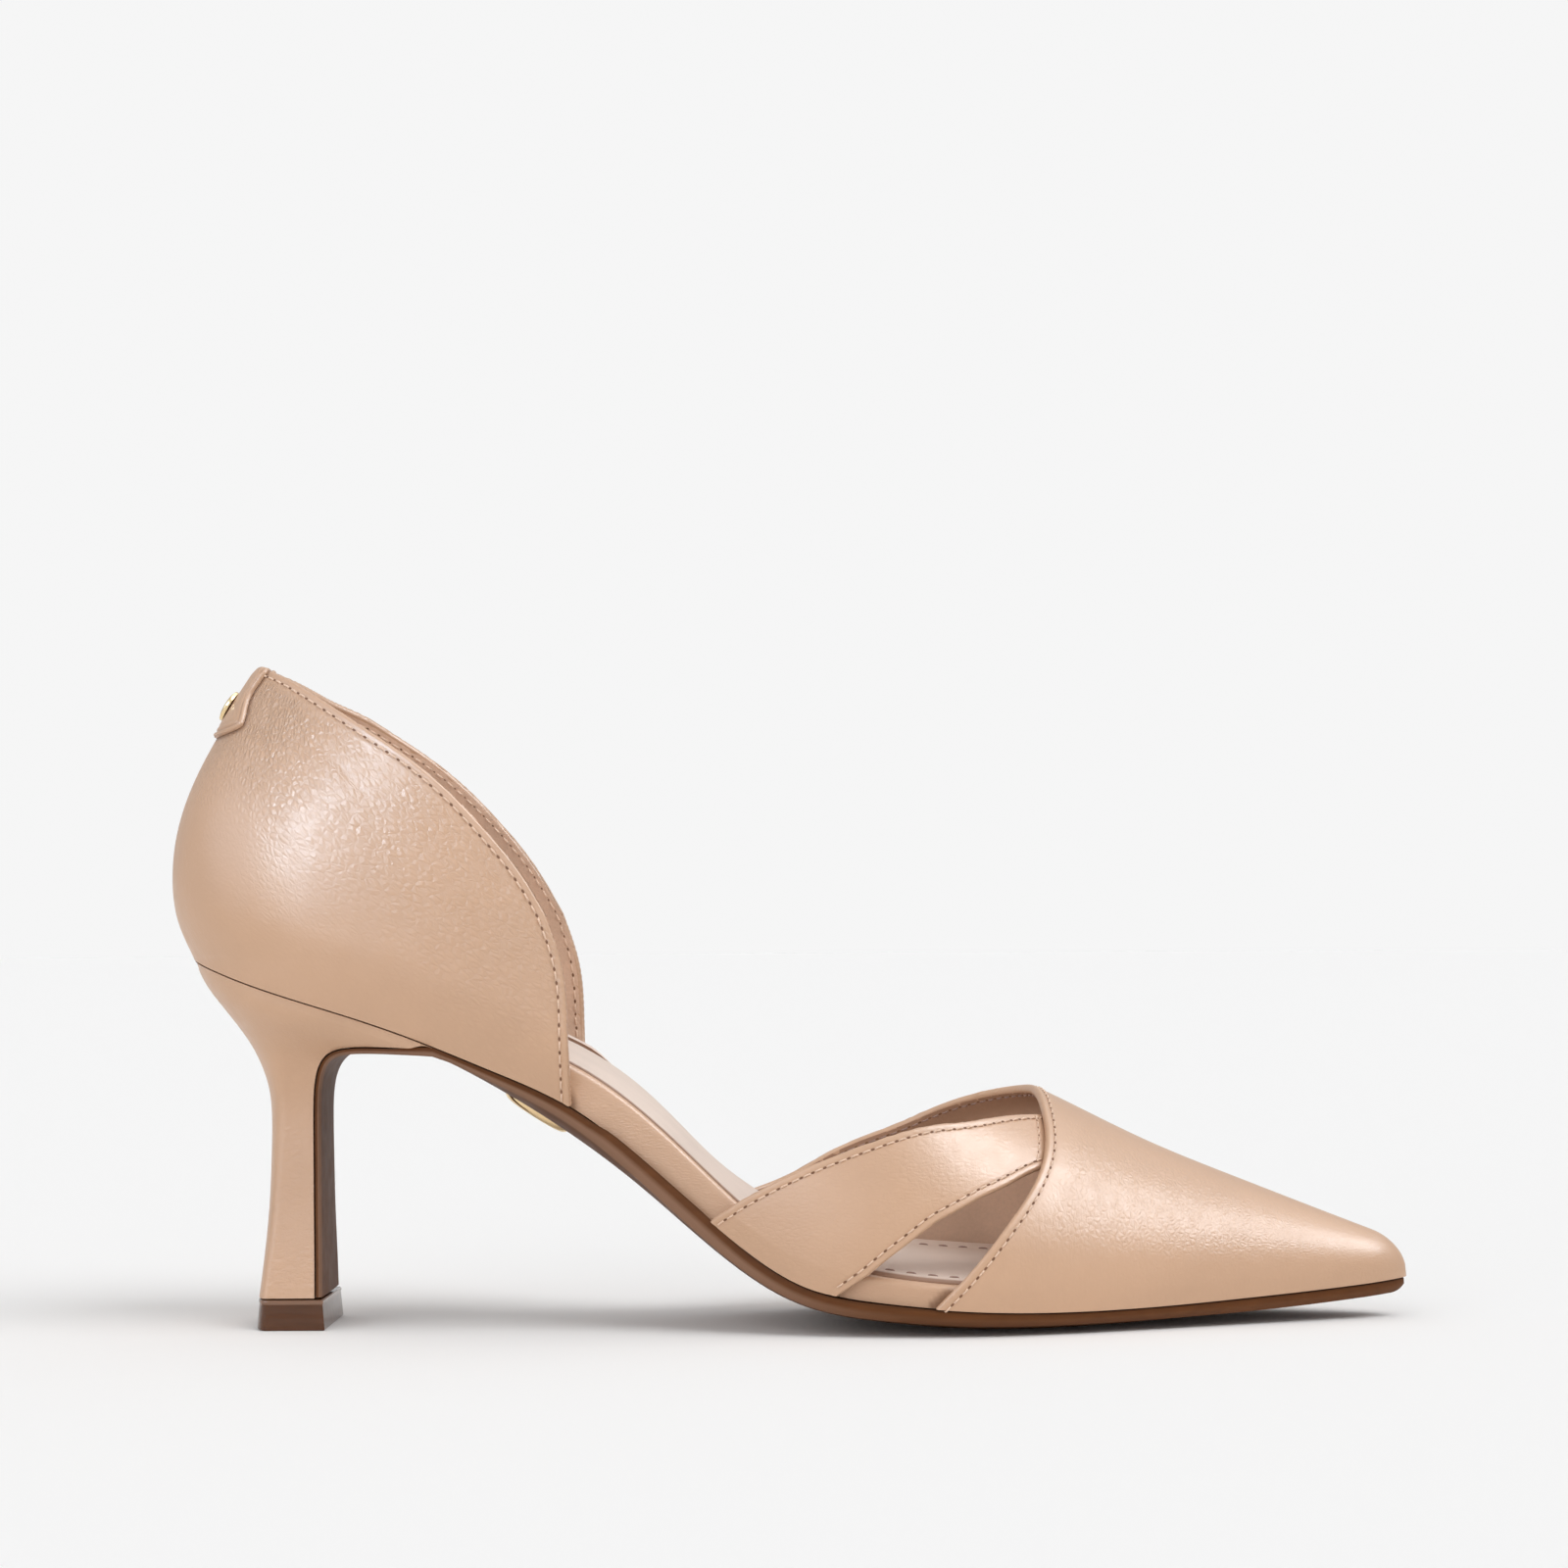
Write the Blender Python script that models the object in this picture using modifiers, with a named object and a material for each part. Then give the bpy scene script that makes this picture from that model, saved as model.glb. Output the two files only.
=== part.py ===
"""Pointed open-waist pump, right shoe: hollow upper, strap, sole, covered heel and fittings.

Sizes are millimetres. Stations run along the foot from the back of the heel cup towards the toe,
heights run up from the floor, the outer side of the foot is at negative Y.
"""
import math

import bmesh
import bpy
import numpy as np
from mathutils import Matrix, Vector

MM = 0.001
GAP = 0.3
WELD = 0.000002
SHARP_ANGLE = math.radians(40.0)

# Ends of the shoe
HEEL_BACK = 4.5
HEEL_ROUND_FROM = 34.0
TIP = 248.8
TIP_ROUND_FROM = 239.5
NOSE_FROM = 241.5
NOSE_FULLNESS = 2.5

# Walls of the upper
VAMP_WALL = 1.7
QUARTER_WALL = 1.8
STRAP_WALL = 1.6
TURN_IN = math.radians(105.0)
GIRTH_TURN = 0.94
STRAP_TUCK_RUN = 12.0

# Heel cup
QUARTER_FRONT = 81.3
QUARTER_CORNER = 77.0
BELLY_HEIGHT = 16.0
COLLAR_HEIGHT = 52.0
COLLAR_OVERRUN = 1.3
MEDIAL_FLARE = 2.5
MEDIAL_FLARE_FROM = 48.0
MEDIAL_FLARE_TO = 84.0
MEDIAL_RISE = 1.0
MEDIAL_RISE_RAMPS = (20.0, 36.0, 66.0, 77.0)
BACK_CURVE_ENDS = 66.0

# Insole board and sock
BOARD_INSET = 2.2
BOARD_TIP = 243.9
SOCK_INSET = 2.9
SOCK_TIP = 243.0
SOCK_EDGE = 1.0
INSOLE_TIP_ROUND = 8.0

# Sole, heel tip and fittings
SOLE_INSET = 0.5
SOLE_FLATNESS = 2.4
SOLE_TIP_ROUND = (245.0, 248.6)
FLAP_EDGE = 1.1
FLAP_CROWN = 1.3
FLAP_FOOT_LEVEL = 0.02
SOLE_FROM = 57.0
HEEL_SEAT_LEVEL = 8.5
HEEL_TOP_LEVEL = 9.0
HEEL_BACK_EDGE = 0.3
TIP_PIECE_TOP = 6.1
TIP_PIECE_FLARE = 0.5
TAB_FOOT = 117.9
TAB_HEAD = 131.7
TAB_SPREAD = 0.258
TAB_CORNER = 3.4
TAB_TAPER = 0.29
TAB_TAPER_FROM = 1.5
TAB_TAPER_TO = 9.5
TAB_THICK = 0.9
STUD_HEIGHT = 123.8
STUD_STEPS = 24
PLATE_STATION = 75.5
PLATE_LENGTH = 15.0
PLATE_WIDTH = 11.0
PLATE_THICK = 1.5
PLATE_ROUND = 0.6
PLATE_SEAT = 0.3
PLATE_SIDES = 32

# Sections along the foot, as fractions of the outline from heel to tip, and grids of the pieces
SECTIONS = np.linspace(0.012, 0.988, 47)
SOCK_POINTS = 7
SOLE_POINTS = 9
VAMP_GRID = (24, 35)
STRAP_GRID = (7, 19)
QUARTER_GRID = (12, 41)
TAB_GRID = (9, 10)
FLAP_SECTIONS = 18
HEEL_SECTIONS = 18
HEEL_POINTS = 11

LAST_COLUMNS = ("station", "feather", "centre", "half_width", "board", "sock", "edge", "crown")
LAST_ROWS = [
    (4.5, 73.7, 0.0, 25.0, 4.0, 3.0, 1.1, 1.3),
    (18.0, 68.9, 0.0, 25.2, 4.0, 3.4, 1.1, 1.3),
    (34.0, 63.9, 0.0, 25.4, 4.2, 3.6, 1.1, 1.3),
    (50.0, 58.4, -0.2, 24.6, 5.0, 3.9, 1.2, 1.5),
    (66.0, 51.7, -0.8, 22.2, 6.8, 4.1, 1.8, 3.0),
    (82.0, 43.9, -1.6, 19.9, 8.4, 4.2, 2.6, 4.3),
    (98.0, 31.4, -2.3, 20.3, 9.3, 4.0, 3.0, 4.5),
    (112.0, 19.4, -2.6, 23.2, 8.2, 3.3, 3.2, 4.8),
    (126.0, 10.3, -2.4, 28.4, 6.5, 2.6, 3.1, 4.9),
    (142.0, 6.7, -1.1, 33.4, 5.1, 2.1, 2.9, 5.1),
    (160.0, 5.1, 0.7, 35.6, 4.7, 1.7, 2.5, 5.3),
    (178.0, 4.5, 2.1, 32.4, 4.4, 1.6, 2.2, 4.7),
    (196.0, 4.7, 3.0, 25.8, 4.0, 1.5, 2.0, 3.9),
    (214.0, 5.5, 3.5, 18.3, 3.5, 1.4, 1.9, 3.1),
    (232.0, 6.6, 3.9, 11.0, 3.1, 1.3, 1.8, 2.5),
    (248.8, 8.0, 4.0, 4.2, 2.7, 1.2, 1.8, 2.1),
]

FOREPART_COLUMNS = ("station", "ridge", "lean", "girth_rise")
FOREPART_ROWS = [
    (98.0, 96.5, 10.0, 5.5),
    (112.0, 87.5, 9.5, 5.2),
    (126.0, 78.0, 8.5, 5.0),
    (142.0, 66.9, 6.8, 4.8),
    (160.0, 54.2, 5.0, 4.6),
    (178.0, 44.8, 3.6, 4.4),
    (196.0, 35.9, 2.4, 4.0),
    (214.0, 28.4, 1.4, 3.5),
    (232.0, 21.3, 0.6, 2.8),
    (248.8, 14.8, 0.0, 2.2),
]

VAMP_EDGE_COLUMNS = ("turn", "station")
VAMP_EDGE_ROWS = [
    (-1.0, 152.6),
    (-0.908, 158.9),
    (-0.778, 165.8),
    (-0.626, 171.8),
    (-0.439, 175.1),
    (-0.243, 175.0),
    (0.0, 173.6),
    (0.170, 170.8),
    (0.355, 163.3),
    (0.525, 153.2),
    (0.651, 143.0),
    (0.741, 132.7),
    (0.843, 122.4),
    (0.930, 113.8),
    (1.0, 108.6),
]

STRAP_COLUMNS = ("run", "rear_station", "rear_turn", "front_station", "front_turn")
STRAP_ROWS = [
    (0.0, 108.7, -1.0, 133.6, -1.0),
    (1.0, 114.0, -0.913, 140.2, -0.929),
    (2.0, 123.8, -0.799, 147.9, -0.846),
    (3.0, 133.5, -0.711, 152.8, -0.787),
    (4.0, 143.2, -0.627, 157.7, -0.735),
    (5.0, 153.1, -0.529, 162.8, -0.675),
    (6.0, 163.0, -0.416, 168.1, -0.611),
    (7.0, 175.3, -0.225, 174.2, -0.521),
    (8.0, 183.0, -0.130, 182.0, -0.430),
]

BACK_COLUMNS = ("height", "station")
BACK_ROWS = [
    (73.7, 4.5),
    (81.0, 1.4),
    (89.0, 0.3),
    (97.0, 0.9),
    (105.0, 3.0),
    (113.0, 6.5),
    (121.0, 11.0),
    (129.0, 16.0),
    (133.0, 18.7),
]

QUARTER_COLUMNS = ("station", "belly", "collar", "topline")
QUARTER_ROWS = [
    (4.5, 3.2, -8.5, 132.4),
    (12.0, 3.2, -7.0, 130.1),
    (20.0, 3.2, -5.4, 127.3),
    (31.0, 3.2, -3.2, 123.0),
    (41.0, 3.3, -1.4, 118.3),
    (50.5, 3.5, 0.2, 112.8),
    (59.0, 3.8, 1.2, 105.8),
    (66.5, 4.1, 1.9, 97.6),
    (74.0, 4.5, 2.6, 87.7),
    (77.0, 4.6, 2.8, 82.4),
]

QUARTER_EDGE_COLUMNS = ("rise", "station")
QUARTER_EDGE_ROWS = [
    (0.0, 81.3),
    (0.4, 81.2),
    (0.61, 80.9),
    (0.735, 80.2),
    (0.86, 78.9),
    (1.0, 77.0),
]

HEEL_COLUMNS = ("level", "back_x", "back_z", "front_x", "front_z", "half_width", "reach", "square")
HEEL_ROWS = [
    (0.0, 17.9, 6.4, 29.9, 6.4, 14.0, 0.22, 2.5),
    (1.0, 18.8, 14.0, 29.8, 14.0, 13.0, 0.26, 2.5),
    (2.0, 19.7, 24.0, 29.6, 24.0, 11.8, 0.30, 2.4),
    (3.0, 20.1, 35.0, 29.5, 35.0, 11.1, 0.36, 2.3),
    (4.0, 20.0, 44.0, 29.5, 44.0, 11.0, 0.43, 2.2),
    (5.0, 18.7, 50.4, 30.1, 50.0, 12.2, 0.50, 2.1),
    (6.0, 15.3, 57.4, 32.2, 54.2, 15.4, 0.55, 2.0),
    (7.0, 9.9, 64.6, 37.0, 56.2, 20.2, 0.59, 2.0),
    (8.0, 6.6, 69.2, 45.2, 56.4, 23.3, 0.59, 2.0),
    (9.0, 4.7, 73.3, 54.6, 55.9, 25.0, 0.59, 2.0),
]

# Profile of the stud from the middle of its crown down: radius, height
STUD_PROFILE = [
    (0.0, 1.2),
    (1.3, 1.2),
    (2.4, 1.0),
    (3.05, 0.7),
    (3.3, 0.4),
    (3.3, 0.0),
    (0.0, 0.0),
]

LEATHER = (0.62, 0.40, 0.27)
SOLE_BROWN = (0.15, 0.075, 0.045)
SOCK_PALE = (0.80, 0.68, 0.60)
GOLD = (0.80, 0.58, 0.30)


def spline(keys, values):
    """Return a natural cubic through the given points, for numbers or arrays."""
    keys = np.array(keys, float)
    values = np.array(values, float)
    count = len(keys)
    step = np.diff(keys)
    slope = np.diff(values) / step
    system = np.eye(count)
    target = np.zeros(count)
    for i in range(1, count - 1):
        system[i, i - 1] = step[i - 1]
        system[i, i] = 2.0 * (step[i - 1] + step[i])
        system[i, i + 1] = step[i]
        target[i] = 6.0 * (slope[i] - slope[i - 1])
    bend = np.linalg.solve(system, target)

    def at(key):
        key = np.clip(np.asarray(key, float), keys[0], keys[-1])
        i = np.clip(np.searchsorted(keys, key) - 1, 0, count - 2)
        before = key - keys[i]
        after = keys[i + 1] - key
        cubic = (bend[i] * after**3 + bend[i + 1] * before**3) / (6.0 * step[i])
        left = (values[i] / step[i] - bend[i] * step[i] / 6.0) * after
        right = (values[i + 1] / step[i] - bend[i + 1] * step[i] / 6.0) * before
        return cubic + left + right

    return at


def curves(columns, rows):
    """Return a spline for every column of a table against its first column."""
    keys = [row[0] for row in rows]
    return {name: spline(keys, [row[i] for row in rows]) for i, name in enumerate(columns)}


LAST = curves(LAST_COLUMNS, LAST_ROWS)
FOREPART = curves(FOREPART_COLUMNS, FOREPART_ROWS)
VAMP_EDGE = curves(VAMP_EDGE_COLUMNS, VAMP_EDGE_ROWS)
STRAP = curves(STRAP_COLUMNS, STRAP_ROWS)
BACK = curves(BACK_COLUMNS, BACK_ROWS)
QUARTER = curves(QUARTER_COLUMNS, QUARTER_ROWS)
QUARTER_EDGE = curves(QUARTER_EDGE_COLUMNS, QUARTER_EDGE_ROWS)
HEEL = curves(HEEL_COLUMNS, HEEL_ROWS)


def ramp(value, start, end):
    """Smooth step from 0 at start to 1 at end."""
    t = np.clip((value - start) / (end - start), 0.0, 1.0)
    return t * t * (3.0 - 2.0 * t)


def end_round(value, start, end, power=2.0):
    """Rounded fall from 1 at start to 0 at end, fuller for a higher power."""
    t = np.clip((value - start) / (end - start), 0.0, 1.0)
    return (1.0 - t**power) ** (1.0 / power)


def ease(count):
    """Fractions from 0 to 1, gathered at the far end."""
    return np.sin(np.linspace(0.0, math.pi / 2.0, count))


# Forms of the last

def half_width(station):
    """Half width of the bottom outline, rounded at both ends."""
    tip = end_round(station, TIP_ROUND_FROM, TIP)
    heel = end_round(station, HEEL_ROUND_FROM, HEEL_BACK)
    return LAST["half_width"](station) * tip * heel


def forepart(station, turn):
    """Outside of the forepart: turn -1 is the outer feather line, 0 the ridge, 1 the inner one."""
    station, turn = np.broadcast_arrays(np.asarray(station, float), np.asarray(turn, float))
    beyond = np.maximum(np.abs(turn) - GIRTH_TURN, 0.0) / (1.0 - GIRTH_TURN)
    quarter_turn = np.minimum(np.abs(turn), GIRTH_TURN) / GIRTH_TURN * math.pi / 2.0
    angle = np.sign(turn) * (quarter_turn + beyond * (TURN_IN - math.pi / 2.0))
    nose = end_round(station, NOSE_FROM, TIP, NOSE_FULLNESS)
    rise = FOREPART["girth_rise"](station)
    crown = (FOREPART["ridge"](station) - LAST["feather"](station) - rise) * nose
    up = np.maximum(np.cos(angle), 0.0)
    under = np.minimum(np.cos(angle), 0.0) / abs(math.cos(TURN_IN))
    z = LAST["feather"](station) + rise * nose * (1.0 + under) + crown * up
    girth = half_width(station) / math.sin(TURN_IN)
    y = LAST["centre"](station) + girth * np.sin(angle) + FOREPART["lean"](station) * nose * up
    return np.stack([station, y, z], axis=-1)


def forepart_normal(station, turn):
    """Outward unit normal of the forepart."""
    along = forepart(station + 0.1, turn) - forepart(station - 0.1, turn)
    around = forepart(station, turn + 0.002) - forepart(station, turn - 0.002)
    normal = np.cross(along, around)
    return normal / np.linalg.norm(normal, axis=-1, keepdims=True)


def heel_cup(station, height, side):
    """Outside of the heel cup at a plan station and a height, side -1 outer, 1 inner."""
    above = np.maximum(height - LAST["feather"](station), 0.0)
    low = np.clip(above / BELLY_HEIGHT, 0.0, 1.0)
    high = np.clip((above - BELLY_HEIGHT) / (COLLAR_HEIGHT - BELLY_HEIGHT), 0.0, COLLAR_OVERRUN)
    flare = MEDIAL_FLARE * ramp(station, MEDIAL_FLARE_FROM, MEDIAL_FLARE_TO)
    belly = QUARTER["belly"](station) + np.where(side > 0.0, flare, 0.0)
    collar = QUARTER["collar"](station)
    spread = belly * np.sin(low * math.pi / 2.0) + (collar - belly) * high * high
    heel = end_round(station, HEEL_ROUND_FROM, HEEL_BACK)
    reach = (LAST["half_width"](station) + spread) * heel
    shift = (BACK["station"](height) - HEEL_BACK) * (1.0 - ramp(station, HEEL_BACK, BACK_CURVE_ENDS))
    return np.stack([station + shift, LAST["centre"](station) + side * reach, height], axis=-1)


def medial_rise(station):
    """Height that the inner collar has over the outer one."""
    start, full, fade, end = MEDIAL_RISE_RAMPS
    return MEDIAL_RISE * ramp(station, start, full) * (1.0 - ramp(station, fade, end))


def heel_cup_patch(around, rise):
    """Heel cup by fractions: around -1 outer front, 0 back seam, 1 inner front; rise 0 to 1."""
    around, rise = np.broadcast_arrays(np.asarray(around, float), np.asarray(rise, float))
    side = np.where(around < 0.0, -1.0, 1.0)
    u = 1.0 - np.cos(np.abs(around) * math.pi / 2.0)
    foot_x = HEEL_BACK + (QUARTER_FRONT - HEEL_BACK) * u
    foot_z = LAST["feather"](foot_x)
    top_x = HEEL_BACK + (QUARTER_CORNER - HEEL_BACK) * u
    top_z = QUARTER["topline"](top_x) + np.where(side > 0.0, medial_rise(top_x), 0.0)
    line_x = QUARTER_FRONT * (1.0 - rise) + QUARTER_CORNER * rise
    bulge = u * (QUARTER_EDGE["station"](rise) - line_x)
    station = foot_x * (1.0 - rise) + top_x * rise + bulge
    return heel_cup(station, foot_z * (1.0 - rise) + top_z * rise, side)


def station_at(fraction):
    """Station that belongs to an outline fraction."""
    return HEEL_BACK + (TIP - HEEL_BACK) * (1.0 - np.cos(math.pi * fraction)) / 2.0


def outline(fraction, side, inset):
    """Plan outline of the last moved inwards, fraction 0 at the heel and 1 at the tip."""
    def edge(part):
        station = station_at(part)
        return np.stack([station, LAST["centre"](station) + side * half_width(station)], axis=-1)

    ahead = edge(np.minimum(fraction + 0.0005, 1.0)) - edge(np.maximum(fraction - 0.0005, 0.0))
    ahead = ahead / np.linalg.norm(ahead, axis=-1, keepdims=True)
    inward = np.stack([side * ahead[..., 1], -side * ahead[..., 0]], axis=-1)
    return edge(fraction) + inward * inset


def insole_line(fraction, inset, tip):
    """Outer and inner point of the insole's outline at a fraction of its length, heel to tip."""
    heel = HEEL_BACK + inset
    station = heel + (tip - heel) * (1.0 - math.cos(math.pi * fraction)) / 2.0
    ends = end_round(station, HEEL_ROUND_FROM, heel) * end_round(station, tip - INSOLE_TIP_ROUND, tip)
    reach = (LAST["half_width"](station) - inset) * ends
    centre = LAST["centre"](station)
    return np.array([[station, centre - reach], [station, centre + reach]])


def feather_down(station):
    """Unit vector in the side view that points down out of the bottom of the last."""
    slope = (LAST["feather"](station + 0.2) - LAST["feather"](station - 0.2)) / 0.4
    length = np.sqrt(1.0 + slope * slope)
    return slope / length, -1.0 / length


# Meshes

def mesh_from(name, vertices, edges, faces):
    """Make a smooth-shaded mesh from points in millimetres, with doubled points welded."""
    mesh = bpy.data.meshes.new(name)
    mesh.from_pydata([tuple(v * MM for v in vertex) for vertex in vertices], edges, faces)
    body = bmesh.new()
    body.from_mesh(mesh)
    bmesh.ops.remove_doubles(body, verts=body.verts, dist=WELD)
    body.to_mesh(mesh)
    body.free()
    return mesh


def face_out(mesh):
    """Turn all faces of a closed body outwards."""
    body = bmesh.new()
    body.from_mesh(mesh)
    bmesh.ops.recalc_face_normals(body, faces=body.faces)
    if body.calc_volume(signed=True) < 0.0:
        bmesh.ops.reverse_faces(body, faces=body.faces)
    body.to_mesh(mesh)
    body.free()


def add_object(name, mesh, colour, roughness=0.45, metallic=0.0):
    """Put a mesh in the shoe's collection, under the shoe's empty, with a plain material."""
    mesh.shade_smooth()
    mesh.set_sharp_from_angle(angle=SHARP_ANGLE)
    item = bpy.data.objects.new(name, mesh)
    SHOE.objects.link(item)
    item.parent = ROOT
    material = bpy.data.materials.new(name)
    material.use_nodes = True
    shader = material.node_tree.nodes["Principled BSDF"]
    shader.inputs["Base Color"].default_value = (*colour, 1.0)
    shader.inputs["Roughness"].default_value = roughness
    shader.inputs["Metallic"].default_value = metallic
    mesh.materials.append(material)
    return item


def add_shell(name, grid, thickness, outwards, colour):
    """Add a sheet from a grid of points and give it a wall."""
    rows, columns = grid.shape[:2]
    vertices = grid.reshape(-1, 3).tolist()
    faces = []
    for i in range(rows - 1):
        for j in range(columns - 1):
            a = i * columns + j
            faces.append((a, a + columns, a + columns + 1, a + 1))
    item = add_object(name, mesh_from(name, vertices, [], faces), colour)
    wall = item.modifiers.new("wall", "SOLIDIFY")
    wall.thickness = thickness * MM
    wall.offset = 1.0 if outwards else -1.0


def add_loft(name, rings, colour, roughness, flat_ends=False):
    """Add a closed body through rings; each end is one face, or pairs its ring's two halves."""
    count = len(rings[0])
    vertices = [point for ring in rings for point in ring]
    faces = []
    for i in range(len(rings) - 1):
        for j in range(count):
            k = (j + 1) % count
            a = i * count
            b = a + count
            faces.append((a + j, a + k, b + k, b + j))
    for base in (0, (len(rings) - 1) * count):
        if flat_ends:
            faces.append(tuple(range(base, base + count)))
            continue
        for j in range(count // 2 - 1):
            m = count - 1 - j
            faces.append((base + j, base + j + 1, base + m - 1, base + m))
    mesh = mesh_from(name, vertices, [], faces)
    face_out(mesh)
    add_object(name, mesh, colour, roughness)


def across(left, right, count):
    """Fractions -1 to 1 across a section with the points between two outline points."""
    t = np.linspace(-1.0, 1.0, count)
    return t, left[None, :] * (1.0 - t[:, None]) / 2.0 + right[None, :] * (1.0 + t[:, None]) / 2.0


# Pieces of the upper

def make_vamp():
    turn = np.linspace(-1.0, 1.0, VAMP_GRID[1])
    run = ease(VAMP_GRID[0])
    rear = VAMP_EDGE["station"](turn)
    station = rear[None, :] + (TIP - rear)[None, :] * run[:, None]
    add_shell("vamp", forepart(station, turn[None, :]), VAMP_WALL, False, LEATHER)


def make_strap():
    run = np.linspace(STRAP_ROWS[0][0], STRAP_ROWS[-1][0], STRAP_GRID[1])
    part = np.linspace(0.0, 1.0, STRAP_GRID[0])[:, None]
    station = STRAP["rear_station"](run) * (1.0 - part) + STRAP["front_station"](run) * part
    turn = STRAP["rear_turn"](run) * (1.0 - part) + STRAP["front_turn"](run) * part
    edge = VAMP_EDGE["station"](turn)
    tuck = (VAMP_WALL + GAP) * ramp(station, edge - STRAP_TUCK_RUN, edge - 1.0)
    grid = forepart(station, turn) - forepart_normal(station, turn) * tuck[..., None]
    add_shell("instep_strap", grid, STRAP_WALL, False, LEATHER)


def make_quarter():
    around = np.linspace(-1.0, 1.0, QUARTER_GRID[1])
    rise = np.linspace(0.0, 1.0, QUARTER_GRID[0])
    grid = heel_cup_patch(around[None, :], rise[:, None])
    add_shell("quarter", grid, QUARTER_WALL, False, LEATHER)


def back_patch(around, height, lift):
    """Points lifted off the back of the heel cup at heights, for the tab."""
    def form(spread, level):
        u = 1.0 - np.cos(np.abs(spread) * math.pi / 2.0)
        side = np.where(spread < 0.0, -1.0, 1.0)
        return heel_cup(HEEL_BACK + (QUARTER_CORNER - HEEL_BACK) * u, level, side)

    aside = form(around + 0.004, height) - form(around - 0.004, height)
    upward = form(around, height + 0.1) - form(around, height - 0.1)
    normal = np.cross(upward, aside)
    normal = normal / np.linalg.norm(normal, axis=-1, keepdims=True)
    return form(around, height) + normal * lift


def make_heel_tab():
    rise = 1.0 - ease(TAB_GRID[0])[::-1]
    above = (TAB_HEAD - TAB_FOOT) * rise[:, None]
    spread = TAB_SPREAD * end_round(above, TAB_CORNER, -0.05)
    spread = spread * (1.0 - TAB_TAPER * ramp(above, TAB_TAPER_FROM, TAB_TAPER_TO))
    around = np.linspace(-1.0, 1.0, TAB_GRID[1])[None, :] * spread
    height = TAB_FOOT + np.broadcast_to(above, around.shape)
    add_shell("heel_tab", back_patch(around, height, GAP), TAB_THICK, True, LEATHER)


# Sole, heel and insole

def make_insole_board():
    rings = []
    for part in SECTIONS:
        line = insole_line(part, BOARD_INSET, BOARD_TIP)
        foot = LAST["feather"](line[:, 0])
        head = foot + LAST["board"](line[:, 0])
        upper = np.column_stack([line, head])
        lower = np.column_stack([line, foot])
        rings.append(np.vstack([upper, lower[::-1]]).tolist())
    add_loft("insole_board", rings, LEATHER, 0.5, flat_ends=True)


def make_insole_sock():
    rings = []
    for part in SECTIONS:
        left, right = insole_line(part, SOCK_INSET, SOCK_TIP)
        t, line = across(left, right, SOCK_POINTS)
        foot = LAST["feather"](line[:, 0]) + LAST["board"](line[:, 0]) + GAP
        puff = (LAST["sock"](line[:, 0]) - SOCK_EDGE) * (1.0 - t * t)
        upper = np.column_stack([line, foot + SOCK_EDGE + puff])
        lower = np.column_stack([line, foot])[[-1, 0]]
        rings.append(np.vstack([upper, lower]).tolist())
    add_loft("insole_sock", rings, SOCK_PALE, 0.8, flat_ends=True)


def flap_rings():
    """Sections of the sole's flap, up the heel breast and on to the arch."""
    level = np.linspace(FLAP_FOOT_LEVEL, HEEL_TOP_LEVEL, FLAP_SECTIONS)
    path_x = HEEL["front_x"](level)
    path_z = HEEL["front_z"](level)
    ahead = np.stack([np.gradient(path_x), np.gradient(path_z)], axis=-1)
    ahead = ahead / np.linalg.norm(ahead, axis=-1, keepdims=True)
    t = np.linspace(-1.0, 1.0, SOLE_POINTS)
    deep = GAP + FLAP_EDGE + (FLAP_CROWN - FLAP_EDGE) * (1.0 - t * t)
    rings = []
    for i in range(FLAP_SECTIONS):
        out_x, out_z = ahead[i, 1], -ahead[i, 0]
        y = t * (HEEL["half_width"](level[i]) - GAP)
        flat = np.full(SOLE_POINTS, GAP)
        inner = np.column_stack([path_x[i] + out_x * flat, y, path_z[i] + out_z * flat])
        outer = np.column_stack([path_x[i] + out_x * deep, y, path_z[i] + out_z * deep])
        rings.append(np.vstack([inner, outer[::-1]]).tolist())
    return rings


def sole_rings():
    """Sections of the sole from the arch to the tip, flat where they meet the floor."""
    rings = []
    for part in SECTIONS[station_at(SECTIONS) > SOLE_FROM]:
        t, line = across(outline(part, -1.0, SOLE_INSET), outline(part, 1.0, SOLE_INSET), SOLE_POINTS)
        x = line[:, 0]
        z = LAST["feather"](x) - GAP
        edge = LAST["edge"](x)
        deep = edge + (LAST["crown"](x) - edge) * (1.0 - np.abs(t) ** SOLE_FLATNESS)
        deep = deep * end_round(x, *SOLE_TIP_ROUND)
        out_x, out_z = feather_down(x)
        upper = np.column_stack([line, z])
        lower = np.column_stack([x + out_x * deep, line[:, 1], np.maximum(z + out_z * deep, 0.0)])
        rings.append(np.vstack([upper, lower[::-1]]).tolist())
    return rings


def make_outsole():
    add_loft("outsole", flap_rings() + sole_rings(), SOLE_BROWN, 0.4)


def heel_ring(level):
    """Section of the heel, from the outer breast corner round the back to the inner one."""
    front = 1.0 - np.cos(np.linspace(0.0, math.pi / 2.0, HEEL_POINTS))
    back_x, back_z = HEEL["back_x"](level), HEEL["back_z"](level)
    x = back_x + (HEEL["front_x"](level) - back_x) * front
    flat = back_z + (HEEL["front_z"](level) - back_z) * front
    seat = LAST["feather"](x) - GAP
    blend = ramp(level, HEEL_SEAT_LEVEL, HEEL_TOP_LEVEL)
    z = np.minimum(flat * (1.0 - blend) + seat * blend, seat)
    square = HEEL["square"](level)
    short = np.clip(1.0 - front / HEEL["reach"](level), 0.0, 1.0)
    reach = HEEL["half_width"](level) * (1.0 - short**square) ** (1.0 / square)
    reach = np.maximum(reach, HEEL_BACK_EDGE)
    outer = np.column_stack([x, -reach, z])[::-1]
    inner = np.column_stack([x, reach, z])
    return np.vstack([outer, inner]).tolist()


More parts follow.
